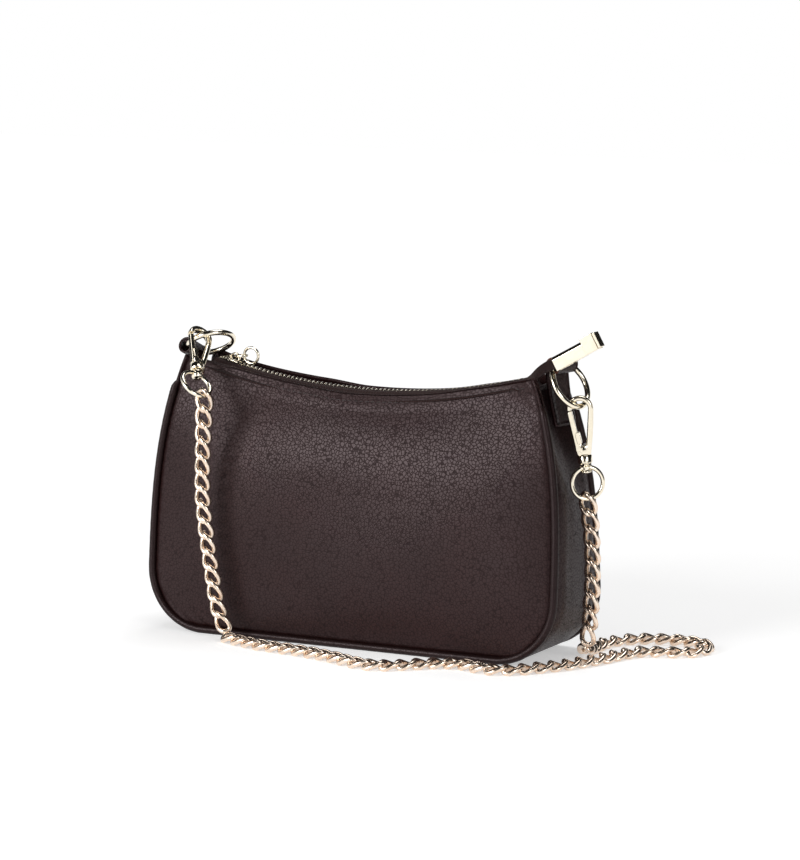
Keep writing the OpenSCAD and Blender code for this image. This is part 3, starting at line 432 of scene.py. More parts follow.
def pebbled(name, base, crease_shade, fleck, size, depth, gloss):
    """Pebbled leather: uneven cells of a size in millimetres, with soft tops and creases
    between them, over finer grain. The creases are painted darker, a painted shade. The colour
    drifts over the hide, and the tops are a little smoother than the creases."""
    made, shader = finish(name, base, gloss)
    shader.inputs["Specular Tint"].default_value = (1.0, 0.84, 0.86, 1)
    nodes = shader.id_data.nodes
    where, push = nodes.new("ShaderNodeTexCoord"), nodes.new("ShaderNodeVectorMath")
    push.operation = "MULTIPLY_ADD"
    push.inputs[1].default_value = (0.0016, 0.0016, 0.0016)
    feed(grain(shader, 210, 2)["Color"], push.inputs[0])
    feed(where.outputs["Object"], push.inputs[2])
    cells = nodes.new("ShaderNodeTexVoronoi")
    cells.feature = "DISTANCE_TO_EDGE"
    cells.inputs["Scale"].default_value = 1000 / size
    feed(push.outputs["Vector"], cells.inputs["Vector"])
    tops = nodes.new("ShaderNodeMapRange")
    tops.interpolation_type = "SMOOTHERSTEP"
    tops.inputs["From Max"].default_value = 0.17
    feed(cells.outputs["Distance"], tops.inputs["Value"])
    height = tops.outputs["Result"]
    fine = dents(grain(shader, 2600, 3, 0.65)["Fac"], 0.000012, shader)
    dents(height, depth, shader, fine)
    # Painted shade: the creases are coloured darker than the tops.
    shaded_creases = nodes.new("ShaderNodeMix")
    shaded_creases.data_type = "RGBA"
    shaded_creases.inputs["A"].default_value = (*crease_shade, 1)
    tint(grain(shader, 26, 3)["Fac"], [(0.3, base), (0.72, fleck)], shaded_creases.inputs["B"])
    between(height, 0.0, 1.0, shaded_creases.inputs["Factor"], 0.0, 0.5)
    feed(shaded_creases.outputs["Result"], shader.inputs["Base Color"])
    between(height, gloss + 0.2, gloss, shader.inputs["Roughness"])
    between(height, 0.18, 0.29, shader.inputs["Specular IOR Level"])
    return made


leather = pebbled("leather", (0.0130, 0.0042, 0.0040), (0.0080, 0.0026, 0.0024),
                  (0.0180, 0.0052, 0.0048), 1.8, 0.00004, 0.37)
thread = finish("thread", (0.020, 0.010, 0.009), 0.6, sheen=0.1)[0]
u = np.sin(np.linspace(-1, 1, 141) * np.pi / 2)[None] * 0.35 + np.linspace(-1, 1, 141)[None] * 0.65
s = np.r_[np.linspace(0, ROUND, 25)[:-1], np.linspace(ROUND, 1, 66)[:-1], 0.9985, 1][:, None]
front = panel(u, s)
lip = 1.4 + 0.7 * ease((front[..., 2] - top_edge(front[..., 0]) + 7) / 2)


THREAD_R = 0.24


def stitches(name, ends, middle):
    """Thread seen in a row of stitches: each is a small rod, thickest in the middle and sunk
    into the leather at its two ends. ends holds the start and end of each stitch, and middle the
    way in which it stands proud."""
    t = np.linspace(0, 1, 6)[None, :, None]
    line = ends[:, :1] * (1 - t) + ends[:, 1:] * t + middle[:, None] * 0.32 * np.sin(np.pi * t)
    way = unit(ends[:, 1] - ends[:, 0])[:, None]
    a = np.cross(way, middle[:, None])
    round_a = full_turn(6)[None, None, :, None]
    thick = (THREAD_R * (0.5 + 0.5 * np.sin(np.pi * t)))[..., None]
    skin = line[:, :, None] + thick * (np.cos(round_a) * a[:, :, None]
                                       + np.sin(round_a) * middle[:, None, None])
    one = [list(f) for f in weave(6, 6, around=True)] + [list(range(6))[::-1], list(range(30, 36))]
    faces = [[k + i * 36 for k in f] for i in range(len(ends)) for f in one]
    return put(name, skin, faces, thread)


def sewn(from_x, to_x, drop, pitch, length):
    """Starts, ends and outward ways of stitches along the panel's top edge, a little below it."""
    x = np.arange(from_x, to_x, pitch)[:, None] + np.array([-0.5, 0.5]) * length
    z = top_edge(x) - drop
    up = (z - CORNER) / (top_edge(x) - CORNER)
    s = ROUND + (1 - ROUND) * up
    w = half_wide(CORNER + up * (HIGH - CORNER)) - SEAM_IN
    at, higher, further = panel(x / w, s), panel(x / w, s + 0.002), panel(x / w + 0.002, s)
    out = unit(np.cross(further - at, higher - at))
    return at + out * (LEATHER / 2 + 0.28), out[:, 0]


seam_ends, seam_out = sewn(-96, 97, 3.1, 3.3, 2.5)
for name, flip in (("front_panel", 1), ("back_panel", -1)):
    points, faces, _ = hide(front * [1, flip, 1], lip)
    skin = put(name + "_leather", points, faces, leather)
    thread_row = stitches(name + "_stitches", seam_ends * [1, flip, 1], seam_out * [1, flip, 1])
    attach(skin, "bag")
    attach(thread_row, "bag")
    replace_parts(skin, name)

# The gusset: one strip of the same leather round both ends and the base. It is sewn to the
# panels over the piping, bulges softly beside each seam, and folds inwards at the top of each end.
CREASE, CREASE_FROM, CREASE_SINK = 8, HIGH * 0.55, 7


def seam_line(inset, side_steps=44, corner_steps=18, base_steps=34):
    """The seam at a distance inside the outline, from the top of the right end round the base to
    the top of the left end, as points of x and z."""
    z = np.linspace(HIGH, CORNER, side_steps + 1)
    a = np.linspace(0, np.pi / 2, corner_steps + 1)[1:]
    x = np.linspace(WIDE / 2 - CORNER, 0, base_steps + 1)[1:]
    half = np.vstack([
        np.stack([half_wide(z) - inset, z], -1),
        np.stack([WIDE / 2 - CORNER + (CORNER - inset) * np.cos(a),
                  CORNER - (CORNER - inset) * np.sin(a)], -1),
        np.stack([x, np.full_like(x, inset)], -1)])
    return np.vstack([half, half[-2::-1] * [-1, 1]])


def crease_at(z):
    """How far the end is folded in at a height."""
    return CREASE * ease((z - CREASE_FROM) / (HIGH - CREASE_FROM))


c = np.sin(np.linspace(-1, 1, 41) * np.pi / 2)[None]
flat, edge, under = seam_line(1 + LEATHER / 2), seam_line(PIPE + 0.5), seam_line(LEATHER / 2)
shape = ease((1 - np.abs(c)) / 0.28)
x = edge[:, :1] * (1 - shape) + flat[:, :1] * shape
z_side = edge[:, 1:] * (1 - shape) + flat[:, 1:] * shape
z_low = under[:, 1:]
blend = ease((CORNER - z_low) / CORNER) * shape
high = np.maximum(flat[:, 1:], 0)
fold = crease_at(high)
soft = np.sqrt(c * c + 0.012) - 0.11 * (1 - np.abs(c))
bulge = 0.7 * np.exp(-((np.abs(c) - 0.62) / 0.2) ** 2) * ease(high / 30) * ease((HIGH - high) / 40)
ripple = 0.25 * np.sin(high / 9 + 2 * c) * shape * ease(high / 40)
way = np.sign(flat[:, :1])
x = x - way * (fold * (1 - soft) * (1 - 0.1 * shape) - bulge - ripple)
z = z_side + (z_low - z_side) * blend - CREASE_SINK * fold / CREASE * (1 - c * c)
strip = np.stack([x, c * (half_deep(high) - PIPE), z], -1)
points, faces, _ = hide(strip, LEATHER)
gusset = put("gusset_leather", points, faces, leather)
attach(gusset, "bag")
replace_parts(gusset, "gusset")

# The piping: a cord wrapped in a thin strip of smooth leather, caught in the two long seams. It
# starts and ends a little below the top, where its ends are tucked into the seam.
PIPE_DROP = 18


def fans(count, n):
    """Three-sided faces that close both ends of n points in rings of so many; the two points
    that they meet in come after the rings."""
    return ([[n, (k + 1) % count, k] for k in range(count)]
            + [[n + 1, n - count + k, n - count + (k + 1) % count] for k in range(count)])


def tube(line, radius, facing, sides=16, wide=1.0):
    """A round skin along an open line, closed at both ends by a point. The radius may change
    along the line, and wide stretches it the way it faces."""
    way = unit(np.gradient(line, axis=0))
    a = unit(np.cross(way, np.broadcast_to(np.asarray(facing, float), way.shape)))
    b = np.cross(a, way)
    t = full_turn(sides)
    r = np.broadcast_to(np.asarray(radius, float), (len(line),))[:, None, None]
    rings = line[:, None] + r * (np.cos(t)[:, None] * a[:, None]
                                 + wide * np.sin(t)[:, None] * b[:, None])
    points = np.vstack([rings.reshape(-1, 3), line[:1] - way[:1] * r[0] * 0.6,
                        line[-1:] + way[-1:] * r[-1] * 0.6])
    around = [list(f) for f in weave(len(line), sides, around=True)]
    return points, around + fans(sides, len(line) * sides)


smooth_leather = pebbled("smooth_leather", (0.0090, 0.0030, 0.0028), (0.006, 0.0020, 0.0018),
                         (0.0120, 0.0036, 0.0034), 0.9, 0.00002, 0.34)
seam = seam_line(PIPE, 60, 26, 40)
seam = seam[seam[:, 1] <= HIGH - PIPE_DROP]
for name, side in (("front_piping", -1), ("back_piping", 1)):
    line = np.stack([seam[:, 0], side * (half_deep(seam[:, 1]) - PIPE), seam[:, 1]], -1)
    tucks = np.array([[-2.6, 0.9, 5.5], [-1.3, 0.5, 3.6], [-0.4, 0.15, 1.8]])
    line = np.vstack([line[0] + tucks * [1, -side, 1], line,
                      line[-1] + tucks[::-1] * [-1, -side, 1]])
    swell = 1 + 0.015 * np.sin(np.arange(len(line)) * 1.7)
    radius = PIPE * swell * np.r_[0.35, 0.7, 0.92, np.ones(len(seam)), 0.92, 0.7, 0.35]
    points, faces = tube(line, radius, [0, 1, 0])
    cord = put(name + "_roll", points, faces, smooth_leather)
    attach(cord, "bag")
    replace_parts(cord, name)

# The lining: plain woven cloth, an open bag inside the leather, with a flat pocket on its back
# wall and a stiff board under its floor.
CLOTH, BOARD = 0.9, 2.0


def heights(wave):
    """A wave between -1 and 1 as heights between 0 and 1."""
    spread = wave.id_data.nodes.new("ShaderNodeMapRange")
    spread.inputs["From Min"].default_value = -1
    feed(wave, spread.inputs["Value"])
    return spread.outputs["Result"]


def cloth(name, colour, light, pitch):
    """Plain weave: threads cross over and under, so that the heights are the product of two
    waves; the crowns are painted lighter, a painted highlight."""
    made, shader = finish(name, colour, 0.8, sheen=0.25)
    where = shader.id_data.nodes.new("ShaderNodeTexCoord")
    parts = shader.id_data.nodes.new("ShaderNodeSeparateXYZ")
    feed(where.outputs["Object"], parts.inputs[0])
    waves = [maths("SINE", maths("MULTIPLY", parts.outputs[axis], 2 * np.pi / pitch))
             for axis in ("X", "Z")]
    crown = heights(maths("MULTIPLY", *waves))
    # Painted highlight: the crowns of the weave are coloured lighter.
    tint(crown, [(0.1, colour), (0.9, light)], shader.inputs["Base Color"])
    dents(crown, 0.00012, shader)
    return made


lining_cloth = cloth("lining_cloth", (0.030, 0.019, 0.016), (0.055, 0.036, 0.030), 0.0009)
X = np.linspace(0.93, -0.93, 40)
Y = np.linspace(0.80, -0.80, 14)
half_ring = np.vstack([np.stack([X, (1 - np.abs(X) ** 5.7) ** 0.175], -1),
                       np.stack([-(1 - np.abs(Y) ** 5.7) ** 0.175, Y], -1)])
ring_shape = np.vstack([half_ring, -half_ring])


def lining_ring(level, wall, scale=1.0):
    """A ring of the lining at a level between its floor and its rim. It follows the leather, a
    wall further in, and its rim dips as the top edge does."""
    ground = LEATHER + BOARD + 0.6
    z0 = ground + level * (HIGH - ground)
    inset = 1 + LEATHER + 1.2 + wall
    below = max(CORNER - z0 - (wall if level == 0 else 0), 0)
    w = (WIDE / 2 - CORNER + np.sqrt((CORNER - inset) ** 2 - below ** 2) if z0 < CORNER
         else half_wide(z0) - crease_at(z0) - inset)
    x = w * ring_shape[:, 0]
    z = (np.full_like(x, ground + wall) if level == 0 else np.full_like(x, z0) if z0 < CORNER
         else CORNER + (z0 - CORNER) / (HIGH - CORNER) * (top_edge(x) - 3 - CORNER))
    lean = lean_in(np.clip(np.abs(x) / half_wide(z), 0, 1), z)
    y = (half_deep(z) - PIPE - LEATHER - 0.3 - wall - lean) * ring_shape[:, 1]
    slack = 0.35 * np.sin(x / 9 + z / 14) * min(level * 4, 1) * (1 if level < 0.9 else 0)
    return np.stack([x * scale, y * scale - np.abs(slack) * np.sign(y), z], -1)


levels = [0, 0.03, 0.07, 0.12, 0.18, 0.26, 0.36, 0.48, 0.6, 0.7, 0.79, 0.87, 0.93, 0.97, 1]
rings = ([lining_ring(0, 0, k) for k in (0.5, 0.9)] + [lining_ring(k, 0) for k in levels]
         + [lining_ring(k, CLOTH) for k in levels[::-1]]
         + [lining_ring(0, CLOTH, k) for k in (0.9, 0.5)])
count, n = len(ring_shape), len(ring_shape) * len(rings)
points = np.vstack(rings + [rings[0].mean(0)[None], rings[-1].mean(0)[None]])
faces = [list(f) for f in weave(len(rings), count, around=True)] + fans(count, n)
lining = put("lining_bag", points, faces, lining_cloth)
x, z = np.linspace(-60, 60, 49)[None], np.linspace(46.5, 116.5, 29)[:, None]
mouth = 0.5 * ease((z - 104) / 12) * np.cos(x / 60 * np.pi / 2)
pocket_y = half_deep(z) - 5.6 - mouth - lean_in(np.abs(x / 110), z)
sheet = np.stack(np.broadcast_arrays(x, pocket_y, z), -1)
points, faces, _ = hide(sheet, 1.1 + 0.5 * ease((z - 109) / 1.5) * np.ones_like(x))
pocket = put("pocket_cloth", points, faces, lining_cloth)
for made, node in ((lining, "lining"), (pocket, "inner_pocket")):
    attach(made, "bag")
    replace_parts(made, node)
board_finish, shader = finish("grey_board", (0.30, 0.24, 0.18), 0.85)
fibres = grain(shader, 900, 5, 0.8)["Fac"]
tint(fibres, [(0.3, (0.24, 0.19, 0.14)), (0.7, (0.36, 0.29, 0.22))], shader.inputs["Base Color"])
dents(fibres, 0.0001, shader)


def dress(node, material):
    """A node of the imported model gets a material, and smooth shading with sharp edges."""
    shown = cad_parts[node]
    shown.data.materials.clear()
    shown.data.materials.append(material)
    shown.data.shade_smooth()
    weld = shown.modifiers.new("weld", "WELD")
    weld.merge_threshold = 0.00001
    split = shown.modifiers.new("edges", "EDGE_SPLIT")
    split.split_angle = np.radians(32)


dress("base_board", board_finish)

# The zip tapes: two dark woven ribbons, sewn under the turned edges. Their weave runs in a
# herringbone of ribs. Past the right end they fold upright against each other and rise into the
# tail, which the metal clamp closes.
SLIT, REACH, TAPE = 0.9, 2.4, 0.8
ZIP_ARC, ZIP_HALF = ARC - 1.6, TOP_HALF - 17
TAPE_IN, TAPE_OUT = SLIT / 2 + REACH + 0.1, TOP / 2 - PIPE - LEATHER - 0.3
TAPE_FROM, TAIL = -TOP_HALF + CREASE + 4, ZIP_HALF + 2
CLAMP_AT, CLAMP_L, CLAMP_H, CLAMP_T = np.array([111, -10.5, 153.5]), 28, 7.6, 4.6


def tape(side, t, w):
    """A point of a tape: t is -1 at its left end, 0 where the zip ends and 1 in the clamp, and w
    goes from the teeth to the outer edge. Along the zip it follows the arc; in the tail it rises
    while its plane folds upright."""
    t, w = np.broadcast_arrays(t, w)
    x = np.where(t < 0, TAPE_FROM + (TAIL - TAPE_FROM) * (1 + t), TAIL + (CLAMP_AT[0] - TAIL) * t)
    flat_x = np.minimum(x, TAIL)
    z = ARC_Z - np.sqrt(ZIP_ARC ** 2 - flat_x ** 2) + TAPE / 2
    rise = np.clip(t, 0, None)
    z = z + (CLAMP_AT[2] + CLAMP_H * 0.36 - z) * np.where(t > 0, 0.35 * rise + 0.65 * ease(rise), 0)
    fold = ease(rise * 1.55)
    turn = np.radians(88) * fold
    split = TAPE_IN * (1 - fold) + (TAPE + 0.15) * fold
    reach = ((TAPE_OUT - TAPE_IN) * (1 - fold) + CLAMP_H * 0.66 * fold) * w
    y = CLAMP_AT[1] * fold + side * (split + np.cos(turn) * reach)
    z = z - np.sin(turn) * reach - (2.2 * w + 1.5 * ease(w * 2.2)) * (1 - fold)
    lower = TAPE / 2
    return np.stack([x, y - side * lower * np.sin(turn), z - lower * np.cos(turn)], -1)


RIB, ZIGZAG = 0.95, 1.5
tape_weave, shader = finish("tape_weave", (0.022, 0.012, 0.010), 0.75, sheen=0.08)
shader.inputs["Specular IOR Level"].default_value = 0.1
where = shader.id_data.nodes.new("ShaderNodeUVMap")
parts = shader.id_data.nodes.new("ShaderNodeSeparateXYZ")
where.uv_map = "lay"
feed(where.outputs["UV"], parts.inputs[0])
leaning = maths("ADD", parts.outputs["X"], maths("PINGPONG", parts.outputs["Y"], ZIGZAG))
ribs = heights(maths("SINE", maths("MULTIPLY", leaning, 2 * np.pi / RIB)))
fuzz = dents(grain(shader, 3000, 3)["Fac"], 0.0001, shader)
dents(ribs, 0.00028, shader, fuzz)
# Painted light: the tops of the ribs are coloured lighter and the grooves darker, as highlight and
# shade.
tint(ribs, [(0.15, (0.012, 0.0050, 0.0045)), (0.85, (0.044, 0.0195, 0.0175))],
     shader.inputs["Base Color"])
t = np.r_[np.linspace(-1, 0, 81)[:-1], np.linspace(0, 1, 41)][:, None]
w = np.linspace(0, 1, 15)[None]
for name, side in (("zip_tape_front", -1), ("zip_tape_back", 1)):
    sheet = tape(side, t, w)
    run = np.r_[0, np.cumsum(np.linalg.norm(np.diff(sheet[:, 7], axis=0), axis=1))]
    lay = np.stack(np.broadcast_arrays(run[:, None], w * (TAPE_OUT - TAPE_IN)), -1).reshape(-1, 2)
    points, faces, source = hide(sheet, TAPE)
    ribbon = put(name + "_ribbon", points, faces, tape_weave, lay[source])
    x = np.linspace(-ZIP_HALF + 1, ZIP_HALF - 2, 90)
    line = np.stack([x, np.full_like(x, side * (SLIT / 2 + REACH - 0.45)),
                     ARC_Z - np.sqrt(ZIP_ARC ** 2 - x ** 2)], -1)
    points, faces = tube(line, 0.55, [0, 1, 0], 10)
    bead = put(name + "_bead", points, faces, tape_weave, points[:, :2])
    for made in (ribbon, bead):
        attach(made, "bag")
    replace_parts(ribbon, name)

# The teeth: small bright metal blocks with rounded tips, clamped on the beads of the tapes, the
# back row half a pitch along. Metal clips stop the slider at both ends.
TOOTH_PITCH, TOOTH_T = 2.5, 1.3


def on_arc(points, angle):
    """Carries points from the flat to their place on the arc of the zip."""
    x, y, z = points[..., 0], points[..., 1], points[..., 2] - ZIP_ARC
    return np.stack([x * np.cos(angle) - z * np.sin(angle), y + 0 * angle,
                     x * np.sin(angle) + z * np.cos(angle) + ARC_Z], -1)


def brick(long, wide, thick, tip=0.78):
    """A block with rounded corners: an eight-sided section along Y that narrows at both ends."""
    a = full_turn(8, 0.5)
    ring = np.stack([oval(np.cos(a), 0.5) * long / 2, 0 * a, oval(np.sin(a), 0.5) * thick / 2], -1)
    size, at = np.array([tip, 1, 1, tip]), np.array([-0.5, -0.36, 0.36, 0.5]) * wide
    points = ring[None] * size[:, None, None] + at[:, None, None] * np.array([0, 1, 0])
    faces = [list(f) for f in weave(4, 8, around=True)] + [list(range(8)), list(range(31, 23, -1))]
    return points.reshape(-1, 3), faces


def bricks(name, shape, angles, shift, node):
    """Copies of one block along the arc, as one piece."""
    points, faces = shape
    placed = on_arc((points + shift)[None], np.asarray(angles)[:, None])
    made = put(name, placed, [[k + i * len(points) for k in f] for i in range(len(angles))
                              for f in faces], bright_gold)
    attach(made, "bag")
    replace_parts(made, node)


bright_gold = plated("bright_gold", (0.93, 0.86, 0.72), (0.86, 0.77, 0.61), 0.09, 0.22)
step = TOOTH_PITCH / ZIP_ARC
for name, side in (("zip_teeth_front", -1), ("zip_teeth_back", 1)):
    first = np.arcsin((-ZIP_HALF + 4) / ZIP_ARC) + (step / 2 if side > 0 else 0)
    count = int((np.arcsin((ZIP_HALF - 2 * TOOTH_PITCH) / ZIP_ARC) - first) / step)
    bricks(name + "_blocks", brick(TOOTH_PITCH * 0.46, REACH, TOOTH_T),
           first + np.arange(count + 1) * step, [0, side * (SLIT / 2 + REACH / 2), 0], name)
stop_y = SLIT / 2 + REACH / 2
top = brick(TOOTH_PITCH, REACH, TOOTH_T, 0.9)
pair = (np.vstack([top[0] + [0, stop_y, 0], top[0] - [0, stop_y, 0]]),
        top[1] + [[k + 32 for k in f] for f in top[1]])
bricks("zip_top_clips", pair, [np.arcsin((-ZIP_HALF - TOOTH_PITCH) / ZIP_ARC)], 0, "zip_top_stops")
bricks("zip_bottom_clip", brick(TOOTH_PITCH, 2 * (SLIT / 2 + REACH), TOOTH_T, 0.9),
       [np.arcsin((ZIP_HALF - TOOTH_PITCH / 2) / ZIP_ARC)], 0, "zip_bottom_stop")

# The slider: cast and gold plated. Two plates joined by a wedge in the slit hold the two rows
# together, flanges keep them in, and a strap-shaped bail on top takes the puller.
SLIDER_AT = np.radians(-13.3531)
PLATE_Z, PLATE_T, BAIL_R, BAIL_SUNK = 0.95, 1.2, 2.6, 0.35


def extruded(outline, thick, rise=0.0, tip=1.0):
    """A flat outline given a thickness along the second axis: the outline's points are x and z,
    and both faces are one many-sided face. tip shrinks the far face."""
    n = len(outline)
    y = thick / 2
    near = np.stack([outline[:, 0], np.full(n, rise - y), outline[:, 1]], -1)
    far = np.stack([outline[:, 0] * tip, np.full(n, rise + y), outline[:, 1] * tip], -1)
    sides = [[k, (k + 1) % n, n + (k + 1) % n, n + k] for k in range(n)]
    return np.vstack([near, far]), [list(range(n))[::-1], list(range(n, 2 * n))] + sides


def joined(*parts):
    """Several meshes of points and faces as one."""
    points, faces = [], []
    for some, which in parts:
        faces += [[k + sum(map(len, points)) for k in f] for f in which]
        points.append(np.asarray(some).reshape(-1, 3))
    return np.vstack(points), faces


def crisp(made, width):
    """Cast and cut metal: its edges are rounded by a hair, in millimetres."""
    bevel = made.modifiers.new("rounded_edges", "BEVEL")
    bevel.width, bevel.segments, bevel.limit_method = width / 1000, 2, "ANGLE"
    bevel.angle_limit = np.radians(40)
    bevel.harden_normals = True


def squircle(long, wide, power, count=32):
    """An outline between an oval and a rectangle."""
    a = full_turn(count, 0.5)
    return np.stack([oval(np.cos(a), power) * long / 2, oval(np.sin(a), power) * wide / 2], -1)


def tipped(points, angle):
    """Turns points about the second axis so that their first axis rises by an angle."""
    x, y, z = np.moveaxis(points, -1, 0)
    return np.stack([x * np.cos(angle) - z * np.sin(angle), y,
                     x * np.sin(angle) + z * np.cos(angle)], -1)


plate = squircle(10, 8.7, 0.42)
plate[:, 1] *= 1 - 0.13 * ease((plate[:, 0] + 1.5) / 5) - 0.08 * ease((-plate[:, 0] - 2) / 3)
parts = []
for up in (1, -1):
    points, faces = extruded(plate, PLATE_T, -up * (PLATE_Z + PLATE_T / 2),
                             0.94 if up < 0 else 1.0)
    parts.append((points[:, [0, 2, 1]] * [1, 1, -1], faces))
    for side in (1, -1):
        points, faces = brick(6.6, 1.1, 0.95, 0.96)
        parts.append((points + [0.9, side * 3.78, up * 0.98], faces))
points, faces = brick(2.4, 0.5, 3.0, 0.9)
parts.append((points + [-3.4, 0, 0], faces))
a = np.linspace(0, np.pi, 25)
bail = np.stack([BAIL_R * np.cos(a), 0 * a,
                 PLATE_Z + PLATE_T - BAIL_SUNK + (BAIL_R + BAIL_SUNK) * np.sin(a)], -1)
parts.append(tube(bail, 0.52, [0, 1, 0], 12, 1.9))
points, faces = joined(*parts)
slider = put("slider_cast", on_arc(points, SLIDER_AT), faces, bright_gold)
crisp(slider, 0.22)
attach(slider, "slider")
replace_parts(slider, "zip_slider")

# The puller: a small flat oval link through the bail, and a round ring in the link that fingers
# take hold of. Both are bent from polished wire.
PULL_WIRE_R, PULL_R, PULLER_R, PULLER_WIRE_R = 0.6, 2.2, 4.25, 0.75
LINK_Z = PLATE_Z + PLATE_T + BAIL_R - 2 * PULL_WIRE_R - 0.15
PULL_RISE = np.radians(17)


def loop(line, facing, radius, sides=14):
    """Wire bent into a closed line of points."""
    skin = rounds(line, np.asarray(facing, float), radius, sides)
    return skin, weave(len(line), sides, around=True, closed=True)


def in_pull(points):
    """Places a piece of the puller on the slider, tilted as it rests against the zip."""
    return on_arc(tipped(np.asarray(points), PULL_RISE) + [0, 0, LINK_Z], SLIDER_AT)


a = np.linspace(np.pi / 2, 3 * np.pi / 2, 17)
stadium = np.vstack([
    np.stack([PULL_R + PULL_R * np.cos(a), PULL_R * np.sin(a), 0 * a], -1),
    np.stack([4.6 - PULL_R * np.cos(a), -PULL_R * np.sin(a), 0 * a], -1)])
points, faces = loop(stadium, [0, 0, 1], PULL_WIRE_R)
pull_link = put("pull_link_wire", in_pull(points), faces, bright_gold)
a = full_turn(64)
circle = np.stack([np.cos(a), 0 * a, np.sin(a)], -1)
points, faces = loop(circle * PULLER_R + [9.55, 0, 0], [0, 1, 0], PULLER_WIRE_R)
pull_ring = put("pull_ring_wire", in_pull(points), faces, bright_gold)
for made, node, body in ((pull_link, "zip_pull_link", "pull_link"),
                         (pull_ring, "zip_pull_ring", "pull_ring")):
    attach(made, body)
    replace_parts(made, node)

# The tail clamp: a polished metal bar, folded round the end of the tapes and held by two small
# screws from behind. A thicker bar closes its tip.
TAIL_SLOPE = np.radians(29)


def in_clamp(points):
    """Places a piece on the rising tail."""
    return tipped(np.asarray(points, float), TAIL_SLOPE) + CLAMP_AT


def bar(from_x, to_x, thick, high, lift=0.0):
    """A rectangular bar along the first axis."""
    points = np.array([[x, j * thick / 2, k * high / 2 + lift] for x in (from_x, to_x)
                       for j, k in ((1, 1), (-1, 1), (-1, -1), (1, -1))])
    return points, [[0, 1, 2, 3], [7, 6, 5, 4]] + [[k, k + 4, (k + 1) % 4 + 4, (k + 1) % 4]
                                                   for k in range(4)]


# The bar's inside ends at 1.6 from its middle, and its outside at 2.3. The front cheek's top edge
# slants; the roof closes the bar over the tapes, and a solid core fills it from there to the tip.
CLAMP_IN, TIP_L, TIP_END, CORE_FROM, CORE_T, CORE_Y = 1.6, 9, 1.6, 8.4, 2.5, 0.35
cheek_t, body_l = CLAMP_T / 2 - CLAMP_IN, CLAMP_L - TIP_L
section = np.array([[-2.3, -3.8], [-1.6, -3.8], [-1.6, 2.2], [-0.7, 3.3], [-0.9, 3.8], [-2.3, 2.2]])
front_cheek, back_cheek = extruded(section, body_l, body_l / 2), bar(0, body_l, cheek_t, CLAMP_H)
roof = bar(0, CORE_FROM + 0.1, CORE_T, 1.15, CLAMP_H / 2 - 0.6)
core = bar(CORE_FROM, body_l, CORE_T, CLAMP_H - 0.1)
points, faces = joined(
    (front_cheek[0][:, [1, 0, 2]], front_cheek[1]),
    (back_cheek[0] + [0, CLAMP_IN + cheek_t / 2, 0], back_cheek[1]),
    (roof[0] + [0, CORE_Y, 0], roof[1]), (core[0] + [0, CORE_Y, 0], core[1]),
    bar(body_l - 0.1, CLAMP_L - TIP_END, 6.0, 9.0, 0.7),
    bar(CLAMP_L - TIP_END, CLAMP_L, 5.2, 8.2, 0.7))
clamp = put("clamp_cast", in_clamp(points), faces, bright_gold)
crisp(clamp, 0.32)
a = full_turn(24)
disc = np.stack([np.cos(a), np.sin(a)], -1)
heads = []
for x in (0.16 * CLAMP_L, 0.42 * CLAMP_L):
    for points, faces in (extruded(disc * 1.6, 0.8, 2.8, 0.8), extruded(disc * 1.0, 0.7, 2.1)):
        heads.append((points + [x, 0, 0], faces))
points, faces = joined(*heads)
screws = put("clamp_screw_heads", in_clamp(points), faces, bright_gold)
crisp(screws, 0.15)
for made, node in ((clamp, "zip_end_clamp"), (screws, "clamp_screws")):
    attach(made, "bag")
    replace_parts(made, node)

# The tabs: a strip of leather rolled round the wire of each ring and sewn to the gusset with
# both ends. The cut ends of the right roll show the raw reddish core of the leather.
TAB_W, FOLD, ROLL_IN, ROLL_ROWS, ROLL_COLS = 15, 4.18, 2.75, 90, 9
right_pivot, left_pivot = np.array([109, 1.1, 151.4]), np.array([-106.5, -1.7, 147])


def turned(points, degrees):
    """Turns points about the first, then the second, then the third axis."""
    points = np.asarray(points, float)
    for axis, angle in enumerate(np.radians(degrees)):
        j, k = (axis + 1) % 3, (axis + 2) % 3
        out = points.copy()
        out[..., j] = points[..., j] * np.cos(angle) - points[..., k] * np.sin(angle)
        out[..., k] = points[..., j] * np.sin(angle) + points[..., k] * np.cos(angle)
        points = out
    return points


raw_core, shader = finish("raw_leather", (0.11, 0.035, 0.022), 0.85)
layers = grain(shader, 1500, 4, 0.7)["Fac"]
tint(layers, [(0.35, (0.055, 0.016, 0.011)), (0.7, (0.19, 0.065, 0.040))],
     shader.inputs["Base Color"])
dents(layers, 0.0002, shader)


def gusset_x(y, z):
    """How far out the gusset lies."""
    return half_wide(z) - 1 - crease_at(z) * (1 - abs(y) / (half_deep(z) - SEAM))


